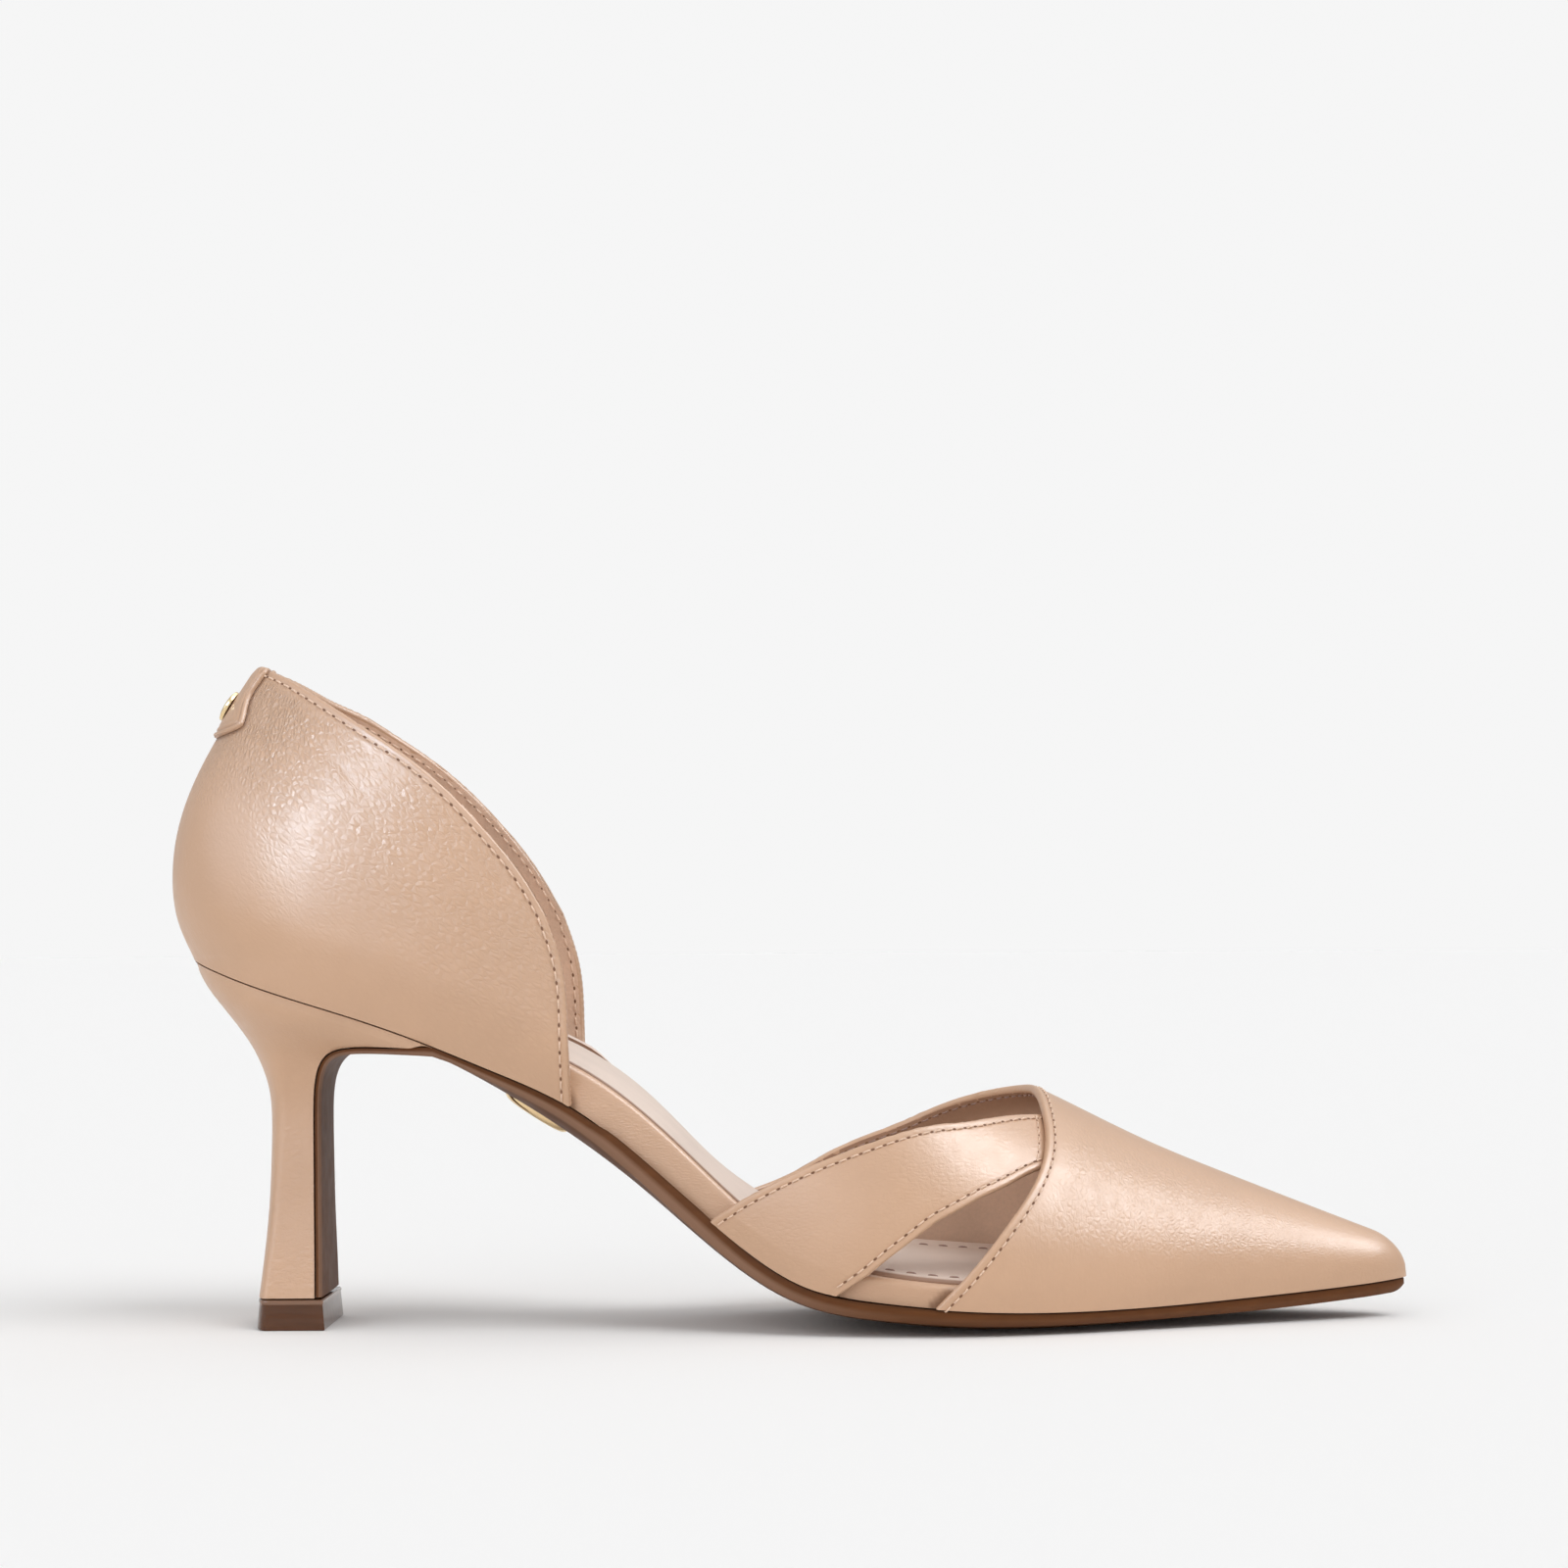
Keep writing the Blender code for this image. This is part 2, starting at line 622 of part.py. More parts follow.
def make_heel():
    levels = np.append(np.linspace(0.0, HEEL_SEAT_LEVEL, HEEL_SECTIONS), HEEL_TOP_LEVEL)
    add_loft("heel", [heel_ring(level) for level in levels], LEATHER, 0.45)


def make_top_piece():
    ring = np.array(heel_ring(0.0))
    back = ring[:, 0].min()
    length = ring[:, 0].max() - back
    cover = length + FLAP_CROWN + GAP
    middle = back + cover / 2.0
    reach = ring[:, 1].max()
    rings = []
    for height, flare in ((0.0, TIP_PIECE_FLARE), (TIP_PIECE_TOP, 0.0)):
        x = middle + ((ring[:, 0] - back) / length - 0.5) * (cover + 2.0 * flare)
        y = ring[:, 1] * (1.0 + flare / reach)
        rings.append(np.column_stack([x, y, np.full(len(x), height)]).tolist())
    add_loft("top_piece", rings, SOLE_BROWN, 0.4)


# Plain metal fittings

def seat(item, point, normal):
    """Place a fitting at a point in millimetres with its top along a direction."""
    item.location = Vector(point) * MM
    item.rotation_euler = Vector(normal).to_track_quat("Z", "Y").to_euler()


def make_heel_stud():
    points = [(radius, 0.0, height) for radius, height in STUD_PROFILE]
    edges = [(i, i + 1) for i in range(len(points) - 1)]
    item = add_object("heel_stud", mesh_from("heel_stud", points, edges, []), GOLD, 0.25, 1.0)
    turn = item.modifiers.new("turn", "SCREW")
    turn.steps = STUD_STEPS
    turn.render_steps = STUD_STEPS
    turn.use_merge_vertices = True
    turn.merge_threshold = WELD
    slope = float(BACK["station"](STUD_HEIGHT + 0.5) - BACK["station"](STUD_HEIGHT - 0.5))
    normal = np.array([-1.0, 0.0, slope]) / math.hypot(1.0, slope)
    surface = np.array([float(BACK["station"](STUD_HEIGHT)), 0.0, STUD_HEIGHT])
    seat(item, surface + normal * (2.0 * GAP + TAB_THICK), normal)


def sole_underside(station):
    """Lowest line of the sole in the side view."""
    out_x, out_z = feather_down(station)
    deep = LAST["crown"](station)
    return np.array([station + out_x * deep, LAST["feather"](station) - GAP + out_z * deep])


def make_waist_plate():
    bpy.ops.mesh.primitive_cylinder_add(vertices=PLATE_SIDES, radius=0.5, depth=PLATE_THICK * MM)
    disc = bpy.context.object
    mesh = disc.data
    bpy.data.objects.remove(disc)
    mesh.name = "waist_plate"
    mesh.transform(Matrix.Diagonal((PLATE_WIDTH * MM, PLATE_LENGTH * MM, 1.0, 1.0)))
    item = add_object("waist_plate", mesh, GOLD, 0.25, 1.0)
    rim = item.modifiers.new("rim", "BEVEL")
    rim.width = PLATE_ROUND * MM
    rim.segments = 2
    reach = PLATE_LENGTH / 2.0
    ahead = sole_underside(PLATE_STATION + reach) - sole_underside(PLATE_STATION - reach)
    ahead = ahead / np.linalg.norm(ahead)
    normal = np.array([ahead[1], 0.0, -ahead[0]])
    middle = sole_underside(PLATE_STATION)
    surface = np.array([middle[0], float(LAST["centre"](PLATE_STATION)), middle[1]])
    seat(item, surface + normal * (GAP + PLATE_SEAT + PLATE_THICK / 2.0), normal)


def centre_on_floor():
    """Move the shoe's empty so that the shoe's box is centred over the origin, on the floor."""
    bpy.context.view_layer.update()
    graph = bpy.context.evaluated_depsgraph_get()
    points = []
    for item in SHOE.objects:
        if item.type == "MESH":
            solid = item.evaluated_get(graph)
            points.extend(tuple(solid.matrix_world @ vertex.co) for vertex in solid.data.vertices)
    low, high = np.min(points, axis=0), np.max(points, axis=0)
    ROOT.location = (-(low[0] + high[0]) / 2.0, -(low[1] + high[1]) / 2.0, -low[2])


for old in list(bpy.data.objects):
    bpy.data.objects.remove(old, do_unlink=True)
SHOE = bpy.data.collections.new("pump_shoe")
bpy.context.scene.collection.children.link(SHOE)
ROOT = bpy.data.objects.new("shoe_origin", None)
SHOE.objects.link(ROOT)

make_outsole()
make_heel()
make_top_piece()
make_insole_board()
make_insole_sock()
make_vamp()
make_strap()
make_quarter()
make_heel_tab()
make_heel_stud()
make_waist_plate()
centre_on_floor()
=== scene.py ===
"""Looks of a pointed open-waist pump, right shoe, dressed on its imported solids.

Lengths are millimetres until a mesh is written. Stations run along the foot from the back of the heel
cup towards the toe, heights run up from the floor, the outer side of the foot is at negative Y.
"""
import math

import bmesh
import bpy
import numpy as np
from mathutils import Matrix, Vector
from mathutils.kdtree import KDTree


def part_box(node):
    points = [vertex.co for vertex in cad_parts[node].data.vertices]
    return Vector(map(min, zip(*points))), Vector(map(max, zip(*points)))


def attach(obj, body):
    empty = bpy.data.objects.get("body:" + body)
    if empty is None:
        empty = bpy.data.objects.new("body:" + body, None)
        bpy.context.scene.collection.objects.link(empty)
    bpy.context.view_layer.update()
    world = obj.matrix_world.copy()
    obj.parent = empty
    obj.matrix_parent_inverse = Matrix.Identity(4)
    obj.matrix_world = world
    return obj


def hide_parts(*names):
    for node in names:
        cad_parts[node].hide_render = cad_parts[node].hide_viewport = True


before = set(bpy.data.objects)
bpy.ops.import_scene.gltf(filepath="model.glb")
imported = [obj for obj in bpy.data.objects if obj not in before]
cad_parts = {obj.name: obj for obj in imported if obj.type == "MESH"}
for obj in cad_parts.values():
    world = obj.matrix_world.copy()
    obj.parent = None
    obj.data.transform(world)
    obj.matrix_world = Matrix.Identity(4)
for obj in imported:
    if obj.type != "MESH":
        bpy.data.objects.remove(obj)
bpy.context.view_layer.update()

MM = 0.001
GAP = 0.3
WELD = 0.000002
SHARP_ANGLE = math.radians(48.0)

# Ends of the shoe
HEEL_BACK = 4.5
HEEL_ROUND_FROM = 34.0
TIP = 248.8
TIP_ROUND_FROM = 239.5
NOSE_FROM = 241.5
NOSE_FULLNESS = 2.5

# Walls of the upper
VAMP_WALL = 1.7
QUARTER_WALL = 1.8
STRAP_WALL = 1.6
SIDE_SWELL = 1.6
SWELL_HEIGHT = 16.0
GIRTH_TURN = 0.94
STRAP_TUCK_RUN = 26.0
STRAP_RUNS = 8.0
EDGE_ROLL = 0.5
LINING_THICK = 0.35
LINING_PROUD = 0.12
LINING_SHORT = 0.6

# Heel cup
QUARTER_FRONT = 81.3
QUARTER_CORNER = 77.0
BELLY_HEIGHT = 16.0
COLLAR_HEIGHT = 52.0
COLLAR_OVERRUN = 1.3
CUP_ROUND_FROM = 42.0
CUP_ROUND_EASE = 2.6
CUP_ROUND_HEIGHT = 30.0
MEDIAL_FLARE = 2.5
MEDIAL_FLARE_RAMP = (48.0, 84.0)
MEDIAL_RISE = 1.0
MEDIAL_RISE_RAMPS = (20.0, 36.0, 66.0, 77.0)
BACK_CURVE_ENDS = 66.0

# Insole board and sock
BOARD_INSET = 2.2
BOARD_TIP = 243.9
BOARD_ROUND = 1.5
WAIST_TILT = 1.8
WAIST_TILT_RAMPS = (58.0, 74.0, 90.0, 112.0)
FORE_TILT = 1.2
FORE_CURL = 0.9
FORE_EDGE = 0.5
FORE_TILT_RAMPS = (104.0, 128.0, 185.0, 225.0)
SOCK_INSET = 3.7
SOCK_EDGE = 0.6
UPSTAND_RAMPS = (58.0, 72.0, 83.0, 90.0)
SOCK_CROWN = 0.33
SOCK_TIP = 243.0
INSOLE_TIP_ROUND = 8.0

# Sole, heel tip and fittings
SOLE_INSET = 0.5
SOLE_FLATNESS = 2.4
SOLE_TIP_ROUND = (245.0, 248.6)
SOLE_BEVEL = 0.7
FLAP_EDGE = 1.1
FLAP_CROWN = 1.3
FLAP_FOOT_LEVEL = 0.02
SOLE_FROM = 57.0
SOLE_LIP_RISE = 0.9
SOLE_LIP_RAMPS = (84.0, 90.0, 106.0, 118.0)
HEEL_SEAT_LEVEL = 8.5
HEEL_TOP_LEVEL = 9.0
HEEL_BACK_EDGE = 0.3
HEEL_POINTS = 34
TAB_FOOT = 117.9
TAB_SPREAD = 0.258
TAB_CORNER = 2.3
TAB_TAPER = 0.29
TAB_TAPER_RAMP = (1.5, 9.5)
TAB_NECK = 0.3
TAB_NECK_RAMP = (12.5, 16.0)
TAB_THICK = 0.9
TAB_ROLL = 0.95
TAB_LIFT = 0.08
TAB_INSIDE = 6.0
STUD_HEIGHT = 123.8
PLATE_STATION = 75.5
PLATE_LENGTH = 15.0
PLATE_WIDTH = 11.0
PLATE_THICK = 1.5
PLATE_SEAT = -0.5

# Sewing
QUARTER_PITCH = 2.75
STRAP_PITCH = 2.5
VAMP_PITCH = 2.4
SOCK_PITCH = 4.2
STITCH_SHARE = 0.72
THREAD_RADIUS = 0.19
THREAD_LIFT = 0.8 * THREAD_RADIUS
THREAD_DIP = 3.0 * THREAD_RADIUS
UPPER_ROW = 1.6
VAMP_ROW = 1.65
TAB_ROW = 2.2
LINING_ROW = 0.9
STRAP_END_ROW = 0.9


def spline(keys, values):
    """Return a natural cubic through the given points, for numbers or arrays."""
    keys = np.array(keys, float)
    values = np.array(values, float)
    count = len(keys)
    step = np.diff(keys)
    slope = np.diff(values) / step
    system = np.eye(count)
    target = np.zeros(count)
    for i in range(1, count - 1):
        system[i, i - 1] = step[i - 1]
        system[i, i] = 2.0 * (step[i - 1] + step[i])
        system[i, i + 1] = step[i]
        target[i] = 6.0 * (slope[i] - slope[i - 1])
    bend = np.linalg.solve(system, target)

    def at(key):
        key = np.clip(np.asarray(key, float), keys[0], keys[-1])
        i = np.clip(np.searchsorted(keys, key) - 1, 0, count - 2)
        before = key - keys[i]
        after = keys[i + 1] - key
        cubic = (bend[i] * after**3 + bend[i + 1] * before**3) / (6.0 * step[i])
        left = (values[i] / step[i] - bend[i] * step[i] / 6.0) * after
        right = (values[i + 1] / step[i] - bend[i + 1] * step[i] / 6.0) * before
        return cubic + left + right

    return at


def curves(columns, rows):
    """Return a spline for every column of a table against its first column."""
    keys = [row[0] for row in rows]
    return {name: spline(keys, [row[i] for row in rows]) for i, name in enumerate(columns)}


# Splines that the shapes follow
LAST = curves(("station", "feather", "centre", "half_width", "board", "sock", "edge", "crown"), [
    (4.5, 73.7, 0.0, 25.0, 4.0, 3.0, 1.1, 1.3),
    (18.0, 68.9, 0.0, 25.2, 4.0, 3.4, 1.1, 1.3),
    (34.0, 63.9, 0.0, 25.4, 4.2, 3.6, 1.1, 1.3),
    (50.0, 58.4, -0.2, 24.6, 5.0, 3.9, 1.2, 1.5),
    (66.0, 51.7, -0.8, 22.2, 6.8, 4.1, 1.8, 3.4),
    (82.0, 43.9, -1.6, 19.9, 8.4, 4.2, 2.6, 5.4),
    (98.0, 31.4, -2.3, 20.3, 9.3, 4.0, 3.0, 4.9),
    (112.0, 19.4, -2.6, 23.2, 8.2, 3.3, 3.2, 4.8),
    (126.0, 10.3, -2.4, 28.4, 6.5, 2.6, 3.1, 4.9),
    (142.0, 6.7, -1.1, 33.4, 5.1, 2.1, 2.9, 5.1),
    (160.0, 5.1, 0.7, 35.6, 4.7, 1.7, 2.5, 5.3),
    (178.0, 4.5, 2.1, 32.4, 4.4, 1.6, 2.2, 4.7),
    (196.0, 4.7, 3.0, 25.8, 4.0, 1.5, 2.2, 3.9),
    (214.0, 5.5, 3.5, 18.3, 3.5, 1.4, 2.5, 3.2),
    (232.0, 6.6, 3.9, 11.0, 3.1, 1.3, 2.5, 2.9),
    (248.8, 8.0, 4.0, 4.2, 2.7, 1.2, 2.4, 2.6),
])

FOREPART = curves(("station", "ridge", "lean", "girth_rise"), [
    (98.0, 96.5, 10.0, 5.5),
    (112.0, 87.5, 9.5, 5.2),
    (126.0, 78.0, 8.5, 5.0),
    (142.0, 66.9, 6.8, 4.8),
    (160.0, 54.2, 5.0, 4.6),
    (178.0, 44.8, 3.6, 4.4),
    (196.0, 35.9, 2.4, 4.0),
    (214.0, 28.4, 1.4, 3.5),
    (232.0, 21.3, 0.6, 2.8),
    (248.8, 14.8, 0.0, 2.2),
])

VAMP_EDGE = curves(("turn", "station"), [
    (-1.0, 152.6),
    (-0.908, 158.9),
    (-0.778, 165.8),
    (-0.626, 171.8),
    (-0.439, 175.1),
    (-0.243, 175.0),
    (0.0, 173.6),
    (0.170, 170.8),
    (0.355, 163.3),
    (0.525, 153.2),
    (0.651, 143.0),
    (0.741, 132.7),
    (0.843, 122.4),
    (0.930, 113.8),
    (1.0, 108.6),
])

STRAP = curves(("run", "rear_station", "rear_turn", "front_station", "front_turn"), [
    (0.0, 108.7, -1.0, 133.6, -1.0),
    (1.0, 114.0, -0.913, 140.2, -0.929),
    (2.0, 123.8, -0.799, 147.9, -0.846),
    (3.0, 133.5, -0.711, 152.8, -0.787),
    (4.0, 143.2, -0.627, 157.7, -0.735),
    (5.0, 153.1, -0.529, 162.8, -0.675),
    (6.0, 163.0, -0.416, 168.1, -0.611),
    (7.0, 175.3, -0.225, 174.2, -0.521),
    (8.0, 183.0, -0.130, 182.0, -0.430),
])

BACK = curves(("height", "station"), [
    (73.7, 4.5),
    (81.0, 1.4),
    (89.0, 0.3),
    (97.0, 0.9),
    (105.0, 3.0),
    (113.0, 6.5),
    (121.0, 11.0),
    (129.0, 16.0),
    (133.0, 18.7),
])

QUARTER = curves(("station", "belly", "collar", "topline"), [
    (4.5, 3.2, -8.5, 132.4),
    (12.0, 3.2, -7.0, 130.1),
    (20.0, 3.2, -5.4, 127.3),
    (31.0, 3.2, -3.2, 123.0),
    (41.0, 3.3, -1.4, 118.3),
    (50.5, 3.5, 0.2, 112.8),
    (59.0, 3.8, 1.2, 105.8),
    (66.5, 4.1, 1.9, 97.6),
    (74.0, 4.5, 2.6, 87.7),
    (77.0, 4.6, 2.8, 82.4),
])

QUARTER_EDGE = curves(("rise", "station"), [
    (0.0, 81.3),
    (0.4, 81.2),
    (0.61, 80.9),
    (0.735, 80.2),
    (0.86, 78.9),
    (1.0, 77.0),
])

HEEL = curves(("level", "back_x", "back_z", "front_x", "front_z", "half_width", "reach", "square"), [
    (0.0, 17.9, 6.4, 29.9, 6.4, 14.0, 0.22, 2.5),
    (1.0, 18.8, 14.0, 29.8, 14.0, 13.0, 0.26, 2.5),
    (2.0, 19.7, 24.0, 29.6, 24.0, 11.8, 0.30, 2.4),
    (3.0, 20.1, 35.0, 29.5, 35.0, 11.1, 0.36, 2.3),
    (4.0, 20.0, 44.0, 29.5, 44.0, 11.0, 0.43, 2.2),
    (5.0, 18.7, 50.4, 30.1, 50.0, 12.2, 0.50, 2.1),
    (6.0, 15.3, 57.4, 32.2, 54.2, 15.4, 0.55, 2.0),
    (7.0, 9.9, 64.6, 37.0, 56.2, 20.2, 0.59, 2.0),
    (8.0, 6.6, 69.2, 45.2, 56.4, 23.3, 0.59, 2.0),
    (9.0, 4.7, 73.3, 54.6, 55.9, 25.0, 0.59, 2.0),
])

# Heights of the top piece, how far each flares past the heel and how much painted highlight it carries on
# its upper bead
TIP_PIECE_PROFILE = [
    (0.0, 0.25, 0.0),
    (0.12, 0.42, 0.0),
    (0.4, 0.5, 0.0),
    (2.8, 0.28, 0.0),
    (5.1, 0.06, 0.0),
    (5.25, 0.1, 0.8),
    (5.45, 0.18, 0.8),
    (5.8, 0.16, 0.8),
    (6.0, 0.06, 0.5),
    (6.1, -0.1, 0.0),
]

# Shares of the waist plate's outline and of its thickness, from the crown to the back
PLATE_PROFILE = [
    (0.02, 1.0),
    (0.5, 0.99),
    (0.8, 0.93),
    (0.88, 0.83),
    (0.95, 0.62),
    (1.0, 0.3),
    (1.0, -0.45),
    (0.02, -0.45),
]

# Radius and height of the stud's turned profile, crown first
STUD_PROFILE = [
    (0.0, 0.60),
    (1.0, 0.59),
    (1.8, 0.55),
    (2.4, 0.46),
    (2.75, 0.32),
    (2.85, 0.20),
    (2.95, 0.17),
    (3.1, 0.19),
    (3.24, 0.12),
    (3.3, 0.0),
    (3.3, -0.3),
    (3.3, -0.55),
    (0.0, -0.55),
]

CREASE_GAIN = 1.5

# Creases of the heel cup: fractions around and up of their start and of their end, depth and width
QUARTER_CREASES = [
    (-0.270, 0.963, -0.386, 0.820, 0.13, 0.75),
    (-0.325, 0.950, -0.375, 0.880, 0.11, 0.70),
    (-0.350, 0.950, -0.405, 0.890, 0.12, 0.70),
    (-0.385, 0.955, -0.430, 0.905, 0.10, 0.65),
    (-0.310, 0.850, -0.385, 0.790, 0.10, 0.70),
    (-0.335, 0.845, -0.415, 0.765, 0.11, 0.70),
    (-0.470, 0.875, -0.525, 0.830, 0.11, 0.75),
    (-0.530, 0.880, -0.570, 0.840, 0.09, 0.75),
    (-0.292, 0.783, -0.370, 0.692, 0.05, 0.90),
    (-0.340, 0.770, -0.410, 0.680, 0.05, 0.90),
    (-0.390, 0.790, -0.455, 0.700, 0.06, 0.90),
    (-0.440, 0.820, -0.505, 0.730, 0.03, 1.20),
    (-0.590, 0.860, -0.650, 0.800, 0.08, 0.80),
    (-0.810, 0.820, -0.850, 0.830, 0.07, 0.70),
    (-0.855, 0.800, -0.895, 0.820, 0.07, 0.70),
    (-0.885, 0.790, -0.927, 0.825, 0.07, 0.70),
    (0.270, 0.960, 0.386, 0.820, 0.12, 0.75),
    (0.330, 0.950, 0.400, 0.880, 0.11, 0.70),
    (0.320, 0.850, 0.400, 0.780, 0.10, 0.70),
    (0.400, 0.800, 0.470, 0.700, 0.10, 0.80),
    (0.480, 0.870, 0.550, 0.800, 0.10, 0.75),
    (0.600, 0.860, 0.660, 0.790, 0.08, 0.80),
]

# Colours
LEATHER = (0.560, 0.347, 0.219)
LINING = (0.68, 0.47, 0.345)
SOCK_PALE = (0.76, 0.625, 0.54)
SOLE_BROWN = (0.115, 0.042, 0.014)
TIP_BROWN = (0.085, 0.030, 0.010)
# Painted light on the sole's lower bevel and on the top piece's upper bead
SOLE_EDGE_LIGHT = (0.25, 0.14, 0.09)
# Painted shadow along the sole's lip, under the upper
SOLE_GAP_SHADOW = (0.070, 0.027, 0.010)
THREAD_TAN = (0.72, 0.51, 0.37)
THREAD_BROWN = (0.30, 0.185, 0.145)
GOLD = (0.86, 0.64, 0.36)
# Colours of painted shade, mixed in where a piece's shade field asks
LEATHER_PAINTED_SHADE = (0.24, 0.12, 0.06)
LINING_PAINTED_SHADE = (0.26, 0.13, 0.07)
SOCK_PAINTED_SHADE = (0.24, 0.12, 0.065)
# Painted shade of the needle holes, deep and soft
HOLE_SHADE_DEEP = (0.16, 0.08, 0.045)
HOLE_SHADE_SOFT = (0.24, 0.125, 0.075)


def ramp(value, start, end):
    """Smooth step from 0 at start to 1 at end."""
    t = np.clip((value - start) / (end - start), 0.0, 1.0)
    return t * t * (3.0 - 2.0 * t)


def end_round(value, start, end, power=2.0):
    """Rounded fall from 1 at start to 0 at end, fuller for a higher power."""
    t = np.clip((value - start) / (end - start), 0.0, 1.0)
    return (1.0 - t**power) ** (1.0 / power)


def plateau(value, start, full, fade, end):
    """Smooth rise from 0 to 1 and fall back to 0."""
    return ramp(value, start, full) * (1.0 - ramp(value, fade, end))


def bell(value, middle, width):
    """Bell curve of height 1."""
    return np.exp(-(((value - middle) / width) ** 2))


def unit(vectors):
    """Vectors scaled to length 1."""
    length = np.linalg.norm(vectors, axis=-1, keepdims=True)
    return vectors / np.maximum(length, 1e-9)


def graded(count, start, end, share=0.12):
    """Fractions 0 to 1 whose steps shrink to the given shares of a full step at the two ends."""
    t = np.linspace(0.0, 1.0, count - 1)
    step = start + (1.0 - start) * ramp(t, 0.0, share)
    step = step * (end + (1.0 - end) * ramp(1.0 - t, 0.0, share))
    return np.concatenate([[0.0], np.cumsum(step) / step.sum()])


# Forms of the last

def half_width(station):
    """Half width of the bottom outline, rounded at both ends."""
    tip = end_round(station, TIP_ROUND_FROM, TIP)
    heel = end_round(station, HEEL_ROUND_FROM, HEEL_BACK)
    return LAST["half_width"](station) * tip * heel


def forepart(station, turn):
    """Outside of the forepart: turn -1 is the outer feather line, 0 the ridge, 1 the inner one."""
    station, turn = np.broadcast_arrays(np.asarray(station, float), np.asarray(turn, float))
    below = np.maximum(np.abs(turn) - GIRTH_TURN, 0.0) / (1.0 - GIRTH_TURN)
    angle = np.sign(turn) * np.minimum(np.abs(turn) / GIRTH_TURN, 1.0) * math.pi / 2.0
    nose = end_round(station, NOSE_FROM, TIP, NOSE_FULLNESS)
    rise = FOREPART["girth_rise"](station)
    crown = FOREPART["ridge"](station) - LAST["feather"](station) - rise
    up = np.cos(angle)
    height = (rise * (1.0 - below) + crown * up) * nose
    low = 1.0 - np.minimum(height / SWELL_HEIGHT, 1.0)
    girth = half_width(station) + SIDE_SWELL * nose * (1.0 - low * low)
    y = LAST["centre"](station) + girth * np.sin(angle) + FOREPART["lean"](station) * nose * up
    return np.stack([station, y, LAST["feather"](station) + height], axis=-1)


def forepart_normal(station, turn):
    """Outward unit normal of the forepart."""
    along = forepart(station + 0.1, turn) - forepart(station - 0.1, turn)
    around = forepart(station, turn + 0.002) - forepart(station, turn - 0.002)
    return unit(np.cross(along, around))


def vamp_form(run, turn):
    """Outside of the vamp: run 0 at its free rear edge, 1 at the tip."""
    rear = VAMP_EDGE["station"](turn)
    return forepart(rear + (TIP - rear) * run, turn)


def strap_form(part, run):
    """Outside of the strap: part 0 at its rear edge, 1 at its front edge, run from sole to vamp."""
    station = STRAP["rear_station"](run) * (1.0 - part) + STRAP["front_station"](run) * part
    turn = STRAP["rear_turn"](run) * (1.0 - part) + STRAP["front_turn"](run) * part
    edge = VAMP_EDGE["station"](turn)
    tuck = (VAMP_WALL + GAP) * ramp(station, edge - STRAP_TUCK_RUN, edge - 1.0)
    return forepart(station, turn) - forepart_normal(station, turn) * tuck[..., None]


def heel_cup(station, height, side):
    """Outside of the heel cup at a plan station and a height, side -1 outer, 1 inner."""
    above = np.maximum(height - LAST["feather"](station), 0.0)
    low = np.clip(above / BELLY_HEIGHT, 0.0, 1.0)
    high = np.clip((above - BELLY_HEIGHT) / (COLLAR_HEIGHT - BELLY_HEIGHT), 0.0, COLLAR_OVERRUN)
    flare = MEDIAL_FLARE * ramp(station, *MEDIAL_FLARE_RAMP)
    belly = QUARTER["belly"](station) + np.where(side > 0.0, flare, 0.0)
    collar = QUARTER["collar"](station)
    spread = belly * np.sin(low * math.pi / 2.0) + (collar - belly) * high * high
    foot_round = end_round(station, HEEL_ROUND_FROM, HEEL_BACK)
    near = np.clip((CUP_ROUND_FROM - station) / (CUP_ROUND_FROM - HEEL_BACK), 0.0, 1.0)
    cup_round = np.sqrt(1.0 - near**CUP_ROUND_EASE)
    heel = foot_round + (cup_round - foot_round) * ramp(above, 0.0, CUP_ROUND_HEIGHT)
    reach = (LAST["half_width"](station) + spread) * heel
    shift = (BACK["station"](height) - HEEL_BACK) * (1.0 - ramp(station, HEEL_BACK, BACK_CURVE_ENDS))
    return np.stack([station + shift, LAST["centre"](station) + side * reach, height], axis=-1)


def forward_share(around):
    """Share of the way forward from the back seam at a fraction around the heel cup."""
    return 1.0 - np.cos(np.abs(around) * math.pi / 2.0)


def quarter_form(rise, around):
    """Heel cup by fractions: around -1 outer front, 0 back seam, 1 inner front; rise 0 to 1."""
    around, rise = np.broadcast_arrays(np.asarray(around, float), np.asarray(rise, float))
    side = np.where(around < 0.0, -1.0, 1.0)
    u = forward_share(around)
    foot_x = HEEL_BACK + (QUARTER_FRONT - HEEL_BACK) * u
    foot_z = LAST["feather"](foot_x)
    top_x = HEEL_BACK + (QUARTER_CORNER - HEEL_BACK) * u
    inner_rise = MEDIAL_RISE * plateau(top_x, *MEDIAL_RISE_RAMPS)
    top_z = QUARTER["topline"](top_x) + np.where(side > 0.0, inner_rise, 0.0)
    line_x = QUARTER_FRONT * (1.0 - rise) + QUARTER_CORNER * rise
    bulge = u * (QUARTER_EDGE["station"](rise) - line_x)
    station = foot_x * (1.0 - rise) + top_x * rise + bulge
    return heel_cup(station, foot_z * (1.0 - rise) + top_z * rise, side)


def station_at(fraction, heel=HEEL_BACK, tip=TIP):
    """Station at a fraction from heel to tip, in short steps at both ends."""
    return heel + (tip - heel) * (1.0 - np.cos(math.pi * fraction)) / 2.0


def outline(fraction, side, inset):
    """Plan outline of the last moved inwards, fraction 0 at the heel and 1 at the tip."""
    def edge(part):
        station = station_at(part)
        return np.stack([station, LAST["centre"](station) + side * half_width(station)], axis=-1)

    ahead = unit(edge(np.minimum(fraction + 0.0005, 1.0)) - edge(np.maximum(fraction - 0.0005, 0.0)))
    inward = np.stack([side * ahead[..., 1], -side * ahead[..., 0]], axis=-1)
    return edge(fraction) + inward * inset


